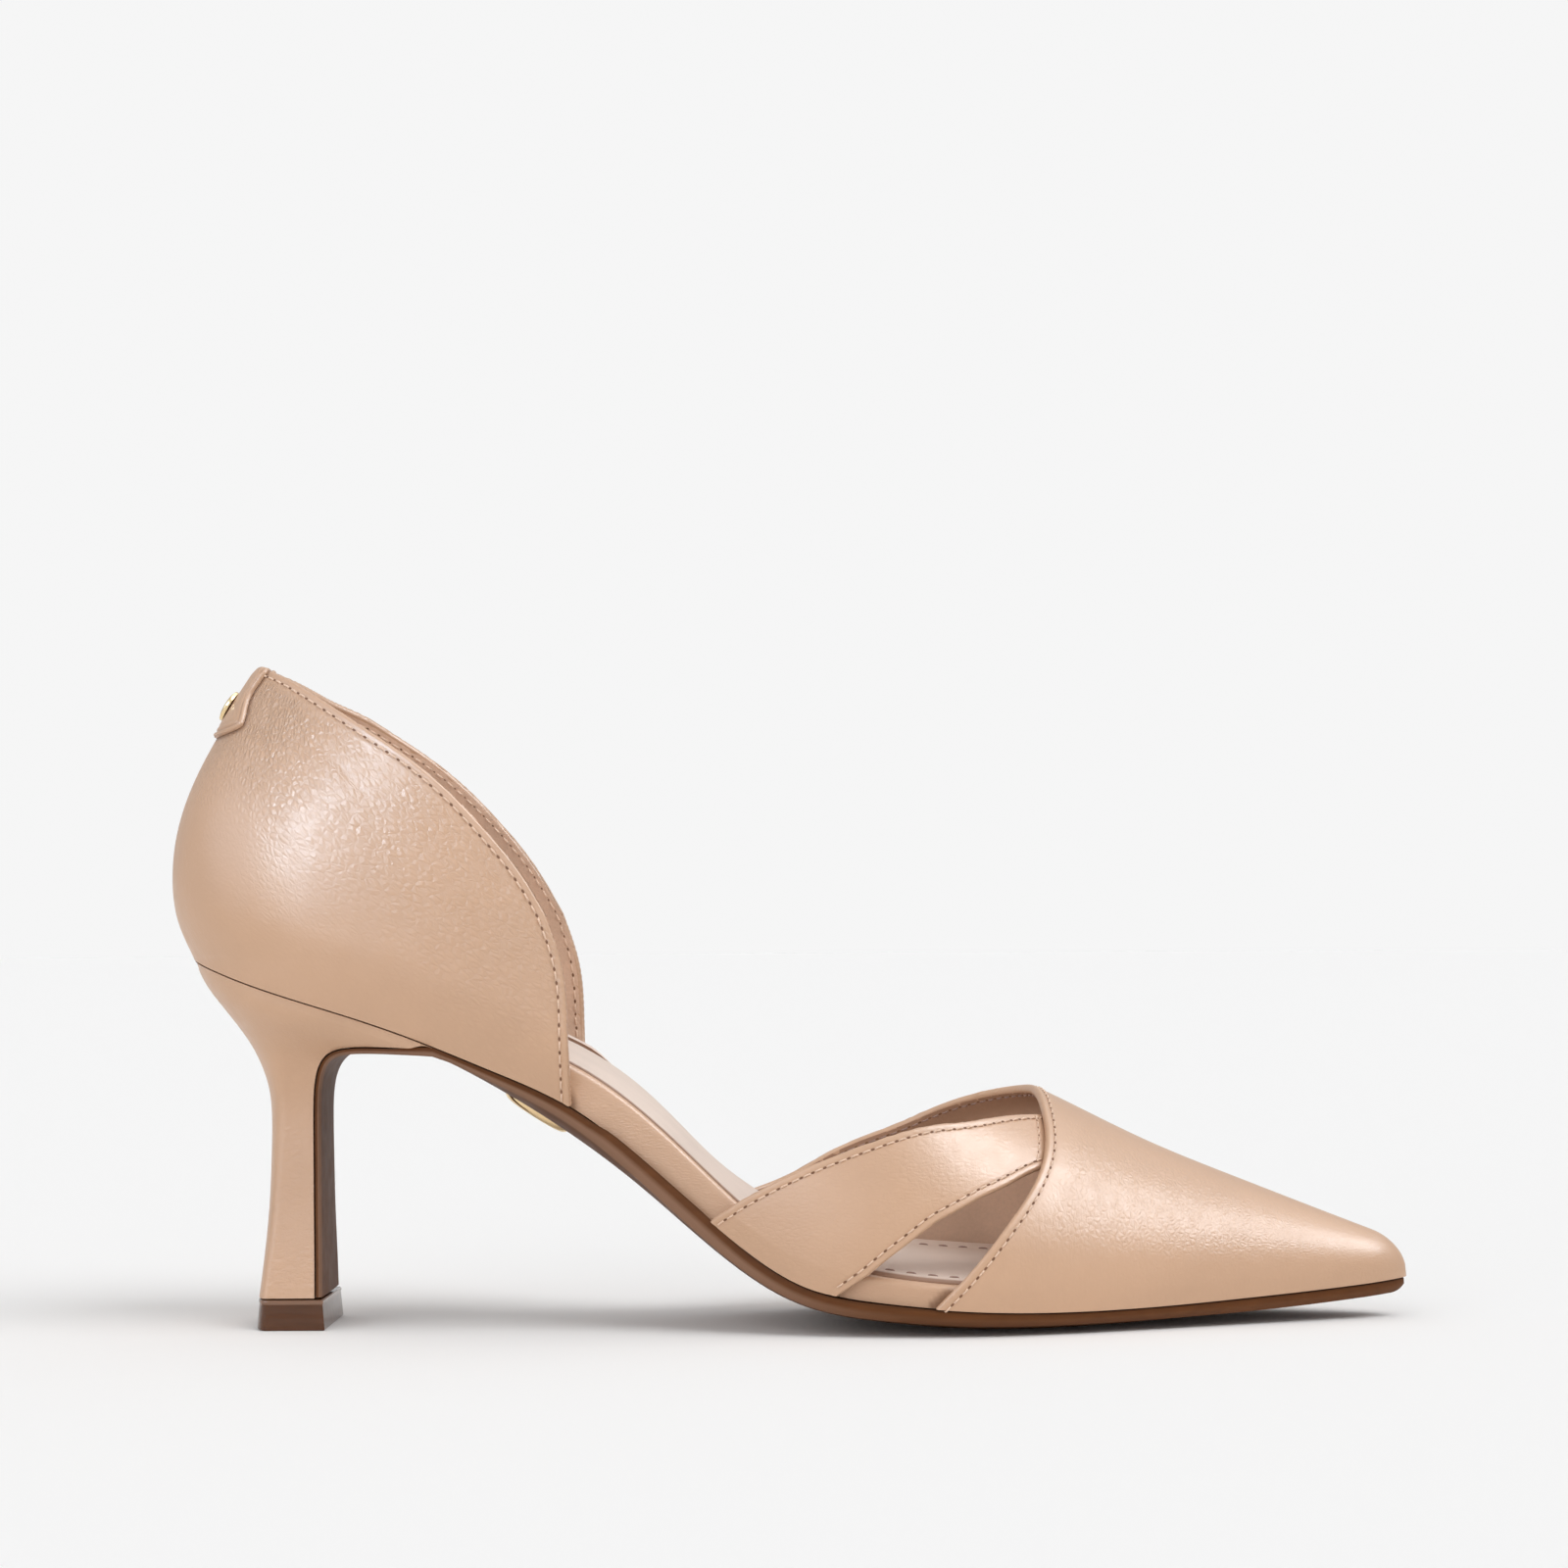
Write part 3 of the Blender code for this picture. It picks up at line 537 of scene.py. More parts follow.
def insole_line(fraction, inset, tip):
    """Station, centre and reach of the insole's outline at fractions of its length, heel to tip."""
    heel = HEEL_BACK + inset
    station = station_at(fraction, heel, tip)
    ends = end_round(station, HEEL_ROUND_FROM, heel) * end_round(station, tip - INSOLE_TIP_ROUND, tip)
    return station, LAST["centre"](station), (LAST["half_width"](station) - inset) * ends


def feather_down(station):
    """Unit vector in the side view that points down out of the bottom of the last."""
    slope = (LAST["feather"](station + 0.2) - LAST["feather"](station - 0.2)) / 0.4
    length = np.sqrt(1.0 + slope * slope)
    return slope / length, -1.0 / length


# Place of the shoe's own millimetres in the frame
ORIGIN = np.array([
    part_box("vamp")[1][0] / MM - TIP,
    (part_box("heel_stud")[0][1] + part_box("heel_stud")[1][1]) / 2.0 / MM,
    0.0,
])


# Meshes

def grid_faces(rows, columns, start=0, flip=False):
    """Quads of a grid of points that starts at an index."""
    i, j = np.meshgrid(np.arange(rows - 1), np.arange(columns - 1), indexing="ij")
    a = (start + i * columns + j).ravel()
    faces = np.stack([a, a + columns, a + columns + 1, a + 1], axis=1)
    return faces[:, ::-1] if flip else faces


def wall_between(outside, inside):
    """Vertices and faces of a wall between two grids of points, closed along their borders."""
    rows, columns = outside.shape[:2]
    count = rows * columns
    faces = [grid_faces(rows, columns), grid_faces(rows, columns, count, True)]
    index = np.arange(count).reshape(rows, columns)
    for border in (index[0], index[-1], index[:, 0], index[:, -1]):
        a, b = border[:-1], border[1:]
        faces.append(np.stack([a, b, b + count, a + count], axis=1))
    return np.vstack([outside.reshape(-1, 3), inside.reshape(-1, 3)]), np.vstack(faces)


def ring_faces(count, points, start=0):
    """Quads between rings of points that follow one another from an index."""
    i, j = np.meshgrid(np.arange(count - 1), np.arange(points), indexing="ij")
    a = (start + i * points + j).ravel()
    b = (start + i * points + (j + 1) % points).ravel()
    return np.stack([a, b, b + points, a + points], axis=1).tolist()


def add_piece(name, vertices, faces, materials, replaced=(), fields=None, face_kinds=None):
    """Write a mesh, weld it, turn it outwards and let it ride on the shoe's body."""
    mesh = bpy.data.meshes.new(name)
    mesh.from_pydata(((vertices + ORIGIN) * MM).tolist(), [], [list(face) for face in faces])
    for key, values in (fields or {}).items():
        values = np.asarray(values, np.float32)
        if values.ndim == 2:
            layer = mesh.attributes.new(key, "FLOAT_VECTOR", "POINT")
            layer.data.foreach_set("vector", values.ravel())
        else:
            layer = mesh.attributes.new(key, "FLOAT", "POINT")
            layer.data.foreach_set("value", values)
    if face_kinds is not None:
        mesh.polygons.foreach_set("material_index", np.asarray(face_kinds, np.int32))
    body = bmesh.new()
    body.from_mesh(mesh)
    bmesh.ops.remove_doubles(body, verts=body.verts, dist=WELD)
    bmesh.ops.dissolve_degenerate(body, edges=body.edges, dist=WELD)
    bmesh.ops.recalc_face_normals(body, faces=body.faces)
    body.to_mesh(mesh)
    body.free()
    mesh.shade_smooth()
    mesh.set_sharp_from_angle(angle=SHARP_ANGLE)
    for material in materials:
        mesh.materials.append(material)
    item = bpy.data.objects.new(name, mesh)
    bpy.context.scene.collection.objects.link(item)
    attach(item, "root")
    if replaced:
        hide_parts(*replaced)
    return item


def grid_normals(grid, like):
    """Unit normals of a grid of points, on the side that a direction at its middle points to."""
    down = np.gradient(grid, axis=0)
    over = np.gradient(grid, axis=1)
    normals = unit(np.cross(down, over))
    middle = normals[grid.shape[0] // 2, grid.shape[1] // 2]
    return normals if np.dot(middle, like) > 0.0 else -normals


class Points:
    """Nearest-point search in a set of points."""

    def __init__(self, points):
        self.points = np.asarray(points, float).reshape(-1, 3)
        self.tree = KDTree(len(self.points))
        for i, point in enumerate(self.points):
            self.tree.insert(point, i)
        self.tree.balance()

    def nearest(self, places):
        """Indices of and distances to the nearest points."""
        found = [self.tree.find(place) for place in np.asarray(places, float).reshape(-1, 3)]
        return np.array([hit[1] for hit in found]), np.array([hit[2] for hit in found])

    def distances(self, places):
        """Distances to the nearest points, in the shape of the places."""
        return self.nearest(places)[1].reshape(np.shape(places)[:-1])


def along(path, places):
    """Points of a path at lengths along it."""
    steps = np.linalg.norm(np.diff(path, axis=0), axis=1)
    length = np.concatenate([[0.0], np.cumsum(steps)])
    return np.stack([np.interp(places, length, path[:, k]) for k in range(path.shape[1])], axis=-1)


def path_length(path):
    """Length of a path of points."""
    return float(np.linalg.norm(np.diff(path, axis=0), axis=1).sum())


class Skin:
    """Outside of a piece of the upper: its grid, its normals and the distance to its free edges."""

    def __init__(self, grid, like, edges):
        self.grid = grid
        self.normals = grid_normals(grid, like)
        dense = [along(edge, np.arange(0.0, path_length(edge), 0.25)) for edge in edges]
        self.edges = Points(np.vstack(dense))
        self.distance = self.edges.distances(grid)
        self.near = Points(grid)

    def settle(self, places):
        """Places pulled on to the skin, with the skin's normals there."""
        hits, _ = self.near.nearest(places)
        normals = self.normals.reshape(-1, 3)[hits]
        lift = np.sum((places - self.near.points[hits]) * normals, axis=1)
        return places - normals * lift[:, None], normals

    def inset_row(self, edge, distance):
        """Path on the skin that keeps a distance from a free edge."""
        edge = along(edge, np.arange(0.0, path_length(edge), 0.3))
        _, normals = self.settle(edge)
        ahead = unit(np.gradient(edge, axis=0))
        inward = unit(np.cross(normals, ahead))
        probes = [edge + inward * distance, edge - inward * distance]
        misses = [self.near.distances(probe).mean() for probe in probes]
        path = self.settle(probes[int(np.argmin(misses))])[0]
        return path[self.edges.distances(path) > 0.94 * distance]


def shell(skin, wall, relief):
    """Vertices and faces of a wall under a skin, its free edges rounded."""
    reach = np.minimum(EDGE_ROLL, wall / 2.0)
    short = 1.0 - np.minimum(skin.distance / reach, 1.0)
    roll = wall / 2.0 * (1.0 - np.sqrt(1.0 - short * short))
    relief = relief * ramp(skin.distance, 0.0, EDGE_ROLL)
    outside = skin.grid + skin.normals * (relief - roll)[..., None]
    inside = skin.grid - skin.normals * (wall - roll)[..., None]
    return wall_between(outside, inside)


def loft(rings):
    """Vertices and faces of a closed body through rings of points, its ends closed by fans."""
    rings = np.asarray(rings, float)
    count, points = rings.shape[:2]
    faces = ring_faces(count, points)
    ends = [rings[0].mean(axis=0)[None], rings[-1].mean(axis=0)[None]]
    vertices = np.vstack([rings.reshape(-1, 3), *ends])
    for base, middle in ((0, count * points), ((count - 1) * points, count * points + 1)):
        for k in range(points):
            faces.append([base + k, base + (k + 1) % points, middle])
    return vertices, faces


def doubled(*fields):
    """Fields of an outside grid repeated for the inside, flattened."""
    return [np.concatenate([field.reshape(-1, *field.shape[2:])] * 2) for field in fields]


# Materials

PEBBLE_STRETCH = (1.4, 4.6, 1.0)
PEBBLE_WOBBLE = (0.8, 0.8, 0.6)
PEBBLE_GROOVE = 0.42
GROOVE_PAINTED_SHADE = 0.30
GROOVE_DEPTH = 0.00024
WRINKLE_DEPTH = 0.00030
PORE_DEPTH = 0.00003


def new_material(name):
    """Material with its tree and its main shader."""
    material = bpy.data.materials.new(name)
    material.use_nodes = True
    tree = material.node_tree
    return material, tree, tree.nodes["Principled BSDF"]


def feed(tree, target, inputs):
    """Set the inputs of a node, by value or by link."""
    for key, value in inputs.items():
        if isinstance(value, bpy.types.NodeSocket):
            tree.links.new(value, target.inputs[key])
        else:
            target.inputs[key].default_value = value


def node(tree, kind, inputs=None, **settings):
    """Add a shader node with its properties and its inputs."""
    made = tree.nodes.new(kind)
    for key, value in settings.items():
        setattr(made, key, value)
    feed(tree, made, inputs or {})
    return made


def place_of(tree):
    """Position on the object, in metres."""
    return node(tree, "ShaderNodeTexCoord").outputs["Object"]


def field_of(tree, name):
    """Number stored on the mesh's points."""
    return node(tree, "ShaderNodeAttribute", attribute_name=name).outputs["Fac"]


def noise(tree, place, scale, detail=3.0, roughness=0.5):
    """Noise value at a place, scale in waves per metre."""
    inputs = {"Vector": place, "Scale": scale, "Detail": detail, "Roughness": roughness}
    return node(tree, "ShaderNodeTexNoise", inputs).outputs["Fac"]


def maths(tree, operation, first, second):
    """Value of a product or other operation."""
    return node(tree, "ShaderNodeMath", {0: first, 1: second}, operation=operation).outputs[0]


def mapped(tree, value, low, high, to_low, to_high):
    """Value moved from one range to another, clamped."""
    limits = {"Value": value, "From Min": low, "From Max": high, "To Min": to_low, "To Max": to_high}
    return node(tree, "ShaderNodeMapRange", limits).outputs["Result"]


def blend(tree, share, first, second):
    """Colour between two colours, each a link or three numbers."""
    ends = [end if isinstance(end, bpy.types.NodeSocket) else (*end, 1.0) for end in (first, second)]
    return node(tree, "ShaderNodeMix", {0: share, 6: ends[0], 7: ends[1]}, data_type="RGBA").outputs[2]


def bump(tree, height, depth, under=None):
    """Normal bent by a height of 0 to 1 that stands for a depth in metres."""
    inputs = {"Height": height, "Distance": depth, "Strength": 1.0}
    if under is not None:
        inputs["Normal"] = under
    return node(tree, "ShaderNodeBump", inputs).outputs["Normal"]


def scaled(colour, factor):
    """Colour made darker or lighter."""
    return tuple(channel * factor for channel in colour)


def mottled(tree, value, colour, dark, light, low=0.35, high=0.65):
    """Colour that wavers between a darker and a lighter tone with a noise value."""
    share = mapped(tree, value, low, high, 0.0, 1.0)
    return blend(tree, share, scaled(colour, dark), scaled(colour, light))


def stretched(tree, vector, scale):
    """Vector scaled along its three directions."""
    return node(tree, "ShaderNodeMapping", {"Vector": vector, "Scale": scale}).outputs[0]


def pebble_grooves(tree, chart):
    """Grooves between uneven pebbles that are longer along the chart's second direction, 0 to 1."""
    spread = stretched(tree, chart, PEBBLE_STRETCH)
    wobble = node(tree, "ShaderNodeTexNoise", {"Vector": spread, "Scale": 0.8, "Detail": 3.0})
    bending = {0: wobble.outputs["Color"], 1: PEBBLE_WOBBLE, 2: spread}
    bent = node(tree, "ShaderNodeVectorMath", bending, operation="MULTIPLY_ADD").outputs[0]
    cells = node(tree, "ShaderNodeTexVoronoi", {"Vector": bent, "Scale": 1.0}, feature="DISTANCE_TO_EDGE")
    return mapped(tree, cells.outputs["Distance"], 0.0, PEBBLE_GROOVE, 1.0, 0.0)


def leather_material():
    """Nude calf: cloudy tone, pores, and pebbles and wrinkles where the fields of the mesh ask for them,
    with painted shade in the pebble grooves and where the shade field asks.
    """
    material, tree, shader = new_material("nude_calf")
    place = place_of(tree)
    chart = node(tree, "ShaderNodeAttribute", attribute_name="chart").outputs["Vector"]
    patches = mapped(tree, noise(tree, place, 170.0, 2.0), 0.36, 0.62, 0.75, 1.0)
    grain = maths(tree, "MULTIPLY", field_of(tree, "grain"), patches)
    grooves = maths(tree, "MULTIPLY", pebble_grooves(tree, chart), grain)
    wrinkles = maths(tree, "MULTIPLY", noise(tree, chart, 1.8, 4.0, 0.62), field_of(tree, "wrinkle"))
    tone = mottled(tree, noise(tree, place, 45.0, 4.0), LEATHER, 0.965, 1.03)
    # Painted shade: the grooves between the pebbles are darkened
    tone = blend(tree, maths(tree, "MULTIPLY", grooves, GROOVE_PAINTED_SHADE), tone, scaled(LEATHER, 0.6))
    normal = bump(tree, noise(tree, place, 2600.0, 3.0, 0.6), PORE_DEPTH)
    normal = bump(tree, maths(tree, "SUBTRACT", 1.0, grooves), GROOVE_DEPTH, normal)
    # Painted shade: the shade field darkens the colour in troughs, creases, gaps and along contact lines
    feed(tree, shader, {
        "Base Color": blend(tree, field_of(tree, "shade"), tone, LEATHER_PAINTED_SHADE),
        "Normal": bump(tree, wrinkles, WRINKLE_DEPTH, normal),
        "Roughness": mapped(tree, noise(tree, place, 300.0, 3.0), 0.3, 0.7, 0.36, 0.46),
        "Specular IOR Level": 0.5,
        "Coat Weight": 0.12,
        "Coat Roughness": 0.3,
    })
    return material


def lining_material():
    """Suede-like lining with a fine nap."""
    material, tree, shader = new_material("suede_lining")
    place = place_of(tree)
    nap = noise(tree, place, 1500.0, 5.0, 0.7)
    tone = mottled(tree, noise(tree, place, 80.0, 3.0), LINING, 0.92, 1.07)
    tone = blend(tree, mapped(tree, nap, 0.35, 0.7, 0.0, 0.35), tone, scaled(LINING, 0.7))
    # Painted shade: the shade field darkens the lining where it lies under its edge
    feed(tree, shader, {
        "Base Color": blend(tree, field_of(tree, "shade"), tone, LINING_PAINTED_SHADE),
        "Normal": bump(tree, nap, 0.00012),
        "Roughness": 0.9,
        "Specular IOR Level": 0.2,
    })
    return material


def sock_material():
    """Pale smooth sock leather."""
    material, tree, shader = new_material("pale_sock")
    place = place_of(tree)
    tone = mottled(tree, noise(tree, place, 60.0, 3.0), SOCK_PALE, 0.95, 1.04)
    # Painted shade: the shade field darkens the sock along its edges and towards the forepart
    feed(tree, shader, {
        "Base Color": blend(tree, field_of(tree, "shade"), tone, SOCK_PAINTED_SHADE),
        "Normal": bump(tree, noise(tree, place, 1700.0, 4.0, 0.6), 0.00006),
        "Roughness": 0.62,
    })
    return material


def sole_material(name, colour, roughness, shine):
    """Stained and waxed brown sole, with painted light where the rim field asks (its lower bevel, or the
    top piece's upper bead) and painted shadow along its lip where the lip field asks.
    """
    material, tree, shader = new_material(name)
    place = place_of(tree)
    streak = noise(tree, stretched(tree, place, (90.0, 600.0, 600.0)), 1.0, 4.0)
    tone = mottled(tree, streak, colour, 0.88, 1.12, 0.3, 0.7)
    # Painted light: paler where the rim field marks the lower bevel or the upper bead
    tone = blend(tree, field_of(tree, "rim"), tone, SOLE_EDGE_LIGHT)
    gloss = noise(tree, place, 220.0, 3.0)
    # Painted shadow: darker where the lip field marks the sole's top edge
    feed(tree, shader, {
        "Base Color": blend(tree, field_of(tree, "lip"), tone, SOLE_GAP_SHADOW),
        "Normal": bump(tree, streak, 0.00004),
        "Roughness": mapped(tree, gloss, 0.3, 0.7, roughness, roughness + 0.08),
        "Specular IOR Level": shine,
    })
    return material


def thread_material(name, colour):
    """Twisted polyester thread."""
    material, tree, shader = new_material(name)
    twist = noise(tree, place_of(tree), 4200.0, 2.0)
    feed(tree, shader, {
        "Base Color": mottled(tree, twist, colour, 0.88, 1.1),
        "Normal": bump(tree, twist, 0.00005),
        "Roughness": 0.6,
    })
    return material


def hole_material():
    """Painted shade of a needle hole: a dark patch where the needle went in."""
    material, tree, shader = new_material("painted_hole_shade")
    depth = noise(tree, place_of(tree), 900.0, 2.0)
    feed(tree, shader, {
        "Base Color": blend(tree, mapped(tree, depth, 0.3, 0.7, 0.0, 1.0), HOLE_SHADE_DEEP, HOLE_SHADE_SOFT),
        "Roughness": 0.8,
        "Specular IOR Level": 0.2,
    })
    return material


def gold_material():
    """Pale polished gold with faint hairlines."""
    material, tree, shader = new_material("pale_gold")
    hair = noise(tree, stretched(tree, place_of(tree), (400.0, 4000.0, 400.0)), 1.0, 3.0)
    feed(tree, shader, {
        "Base Color": mottled(tree, hair, GOLD, 0.94, 1.04, 0.3, 0.7),
        "Roughness": mapped(tree, hair, 0.3, 0.7, 0.16, 0.26),
        "Metallic": 1.0,
    })
    return material


CALF = leather_material()
SUEDE = lining_material()
SOCK_CALF = sock_material()
SOLE = sole_material("brown_sole", SOLE_BROWN, 0.48, 0.08)
TIP_RUBBER = sole_material("brown_tip", TIP_BROWN, 0.03, 0.45)
THREAD = thread_material("tan_thread", THREAD_TAN)
DARK_THREAD = thread_material("brown_thread", THREAD_BROWN)
HOLE = hole_material()
METAL = gold_material()


# Sewing

THREAD_RINGS = 7
THREAD_SIDES = 6
HOLE_SIDES = 10
HOLE_LONG = 0.40
HOLE_WIDE = 0.24


def frames_on(path, skin, places):
    """Points, directions and normals on a skin at lengths along a path."""
    points, normals = skin.settle(along(path, places))
    ahead = unit(along(path, places + 0.05) - along(path, places - 0.05))
    aside = unit(np.cross(normals, ahead))
    return points, ahead, aside, normals


def thread_tubes(path, skin, middles, length):
    """Bent tubes of thread along a path, one at each middle, their ends sunk into the skin."""
    reach = np.linspace(-0.5, 0.5, THREAD_RINGS)
    places = (middles[:, None] + reach[None, :] * length).ravel()
    points, _, aside, normals = frames_on(path, skin, places)
    bow = np.tile(THREAD_LIFT - THREAD_DIP * np.abs(2.0 * reach) ** 4, len(middles))
    points = points + normals * bow[:, None]
    angle = np.arange(THREAD_SIDES) * 2.0 * math.pi / THREAD_SIDES
    ring = np.cos(angle)[None, :, None] * aside[:, None, :]
    ring = ring + np.sin(angle)[None, :, None] * normals[:, None, :]
    vertices = (points[:, None, :] + ring * THREAD_RADIUS).reshape(-1, 3)
    faces = []
    for tube in range(len(middles)):
        base = tube * THREAD_RINGS * THREAD_SIDES
        faces.extend(ring_faces(THREAD_RINGS, THREAD_SIDES, base))
        faces.append([base + j for j in range(THREAD_SIDES)][::-1])
        last = base + (THREAD_RINGS - 1) * THREAD_SIDES
        faces.append([last + j for j in range(THREAD_SIDES)])
    return vertices, faces


def needle_holes(path, skin, places):
    """Small dark lens shapes at places along a path, carrying the painted shade of the needle holes."""
    points, ahead, aside, normals = frames_on(path, skin, places)
    angle = np.arange(HOLE_SIDES) * 2.0 * math.pi / HOLE_SIDES
    rim = points[:, None, :] - 0.02 * normals[:, None, :]
    rim = rim + np.cos(angle)[None, :, None] * HOLE_LONG * ahead[:, None, :]
    rim = rim + np.sin(angle)[None, :, None] * HOLE_WIDE * aside[:, None, :]
    crown = points + 0.05 * normals
    root = points - 0.25 * normals
    vertices = np.concatenate([rim, crown[:, None, :], root[:, None, :]], axis=1).reshape(-1, 3)
    faces = []
    for hole in range(len(places)):
        base = hole * (HOLE_SIDES + 2)
        for j in range(HOLE_SIDES):
            k = (j + 1) % HOLE_SIDES
            faces.append([base + j, base + k, base + HOLE_SIDES])
            faces.append([base + k, base + j, base + HOLE_SIDES + 1])
    return vertices, faces


def add_stitches(name, rows, pitch, share=STITCH_SHARE, thread=THREAD, holes=True):
    """Add rows of stitches, each row a path and the skin that it lies on, as one piece."""
    vertices, faces, kinds = [], [], []
    for path, skin in rows:
        middles = np.arange(pitch * 0.7, path_length(path) - pitch * 0.5, pitch)
        parts = [(thread_tubes(path, skin, middles, share * pitch), 0)]
        if holes:
            parts.append((needle_holes(path, skin, middles + pitch / 2.0), 1))
        for (points, quads), kind in parts:
            start = sum(len(block) for block in vertices)
            vertices.append(points)
            faces.extend([[start + corner for corner in face] for face in quads])
            kinds.extend([kind] * len(quads))
    return add_piece(name, np.vstack(vertices), faces, [thread, HOLE], face_kinds=kinds)


def crease_depth(grid):
    """Depth of the creases over the heel cup's grid, each a soft trough that fades at its ends."""
    depth = np.zeros(grid.shape[:2])
    t = np.linspace(0.0, 1.0, 30)
    for around, rise, end_around, end_rise, deep, width in QUARTER_CREASES:
        line = quarter_form(rise + (end_rise - rise) * t, around + (end_around - around) * t)
        low = line.min(axis=0) - 4.0 * width
        high = line.max(axis=0) + 4.0 * width
        inside = np.all((grid > low) & (grid < high), axis=-1)
        gaps = np.linalg.norm(grid[inside][:, None, :] - line[None, :, :], axis=-1)
        fade = np.sin(np.clip(t[gaps.argmin(axis=1)], 0.03, 0.97) * math.pi) ** 0.7
        depth[inside] += CREASE_GAIN * deep * fade * bell(gaps.min(axis=1), 0.0, width)
    return depth


def fold_relief(distance, row):
    """Puff of a folded edge with the trough of its stitch row."""
    return 0.035 * bell(distance, 0.5 * row, 0.4 * row) - 0.11 * bell(distance, row, 0.32)


def row_shade(distance, row):
    """Painted shade along a stitch row and in its trough."""
    return 0.08 * bell(distance, row, 0.4)


def add_upper(name, skin, wall, relief, shade, grain, wrinkle, chart):
    """Add a leather wall of the upper with the fields that its material reads."""
    vertices, faces = shell(skin, wall, relief)
    shade, grain, wrinkle, chart = doubled(shade, grain, wrinkle, chart)
    fields = {"shade": shade, "grain": grain, "wrinkle": wrinkle, "chart": chart}
    return add_piece(name, vertices, faces, [CALF], (name,), fields)


def add_lining(name, grid, like, wall, brim=0.0):
    """Add a thin lining inside a wall, a little short of its folded edges, with painted shade along its
    first row.
    """
    inner = grid - grid_normals(grid, like) * (wall + LINING_PROUD)
    borders = [inner[0], inner[-1], inner[:, 0], inner[:, -1]]
    skin = Skin(inner, -np.asarray(like), borders)
    vertices, faces = shell(skin, LINING_THICK + LINING_PROUD, np.zeros(inner.shape[:2]))
    shade = brim * (1.0 - ramp(Points(inner[0]).distances(inner).ravel(), 2.0, 11.0))
    add_piece(name, vertices, faces, [SUEDE], (), {"shade": np.tile(shade, 2)})
    return skin


# Pieces of the upper

OUT = (0.0, -1.0, 0.0)
UP = (0.0, 0.0, 1.0)
BACKWARDS = (-1.0, 0.0, 0.0)
VAMP_BAND_TURNS = (-0.86, -0.66, -0.44, -0.2)
VAMP_BAND_FADE = (205.0, 240.0)
STRAP_END_TURNS = (-0.24, -0.50)
TAB_CONTACT_SHADE = 0.9
TAB_CONTACT_RAMP = (0.4, 1.2)
PEBBLE_ZONE_DROP = (12.0, 36.0)
PEBBLE_ZONE_EDGE = (1.2, 4.0)
PEBBLE_ZONE_BACK = (5.0, 15.0)
PEBBLE_ZONE_FRONT = (34.0, 62.0)


def make_vamp():
    turn = np.linspace(-1.0, 1.0, 201)[None, :]
    run = graded(141, 0.2, 0.5)[:, None] * 0.99999
    grid = vamp_form(run, turn)
    skin = Skin(grid, UP, [grid[0]])
    station = grid[..., 0]
    shade = row_shade(skin.distance, VAMP_ROW)
    band = plateau(turn, *VAMP_BAND_TURNS) * (1.0 - ramp(station, *VAMP_BAND_FADE))
    grain = 0.10 + 0.24 * band * ramp(skin.distance, 2.0, 7.0)
    wrinkle = (0.3 + 0.4 * band) * ramp(skin.distance, 2.0, 9.0)
    wrinkle = wrinkle * (1.0 - 0.6 * ramp(station, 225.0, 245.0))
    around = np.broadcast_to(turn * 9.0, station.shape)
    chart = np.stack([station / 1.5, around, np.zeros_like(station)], axis=-1)
    wall = VAMP_WALL * (1.0 - 0.55 * ramp(station, 226.0, 244.0))
    relief = fold_relief(skin.distance, VAMP_ROW)
    add_upper("vamp", skin, wall, relief, shade, grain, wrinkle, chart)
    rear = VAMP_EDGE["station"](turn)
    inner_run = np.linspace(0.0, 1.0, 60)[:, None]
    start = LINING_SHORT / (TIP - rear)
    inner = vamp_form(start + (0.86 - start) * inner_run, turn * 0.97)
    lining = add_lining("vamp_lining", inner, UP, VAMP_WALL, 0.75)
    add_stitches("vamp_stitches", [(skin.inset_row(grid[0], VAMP_ROW), skin)], VAMP_PITCH)
    lining_row = lining.inset_row(lining.grid[0], LINING_ROW)
    add_stitches("vamp_lining_stitches", [(lining_row, lining)], VAMP_PITCH, thread=DARK_THREAD)


def make_strap():
    run = np.linspace(0.0, STRAP_RUNS, 161)[None, :]
    part = graded(61, 0.25, 0.25, 0.2)[:, None]
    grid = strap_form(part, run)
    skin = Skin(grid, OUT, [grid[0], grid[-1]])
    shade = row_shade(skin.distance, UPPER_ROW)
    station = grid[..., 0]
    grain = np.full(station.shape, 0.15)
    wrinkle = 0.35 * ramp(skin.distance, 1.5, 5.0)
    chart = np.stack([station / 2.2, grid[..., 2] / 4.0, np.zeros_like(station)], axis=-1)
    relief = fold_relief(skin.distance, UPPER_ROW)
    add_upper("instep_strap", skin, STRAP_WALL, relief, shade, grain, wrinkle, chart)
    inner = strap_form(np.linspace(0.06, 0.94, 30)[:, None], run[:, ::2] * 0.985)
    add_lining("strap_lining", inner, OUT, STRAP_WALL)
    turn = np.linspace(*STRAP_END_TURNS, 60)
    end_row = skin.settle(forepart(VAMP_EDGE["station"](turn) - STRAP_END_ROW, turn))[0]
    rows = [(skin.inset_row(edge, UPPER_ROW), skin) for edge in (grid[0], grid[-1])]
    rows.append((end_row, skin))
    add_stitches("strap_stitches", rows, STRAP_PITCH)


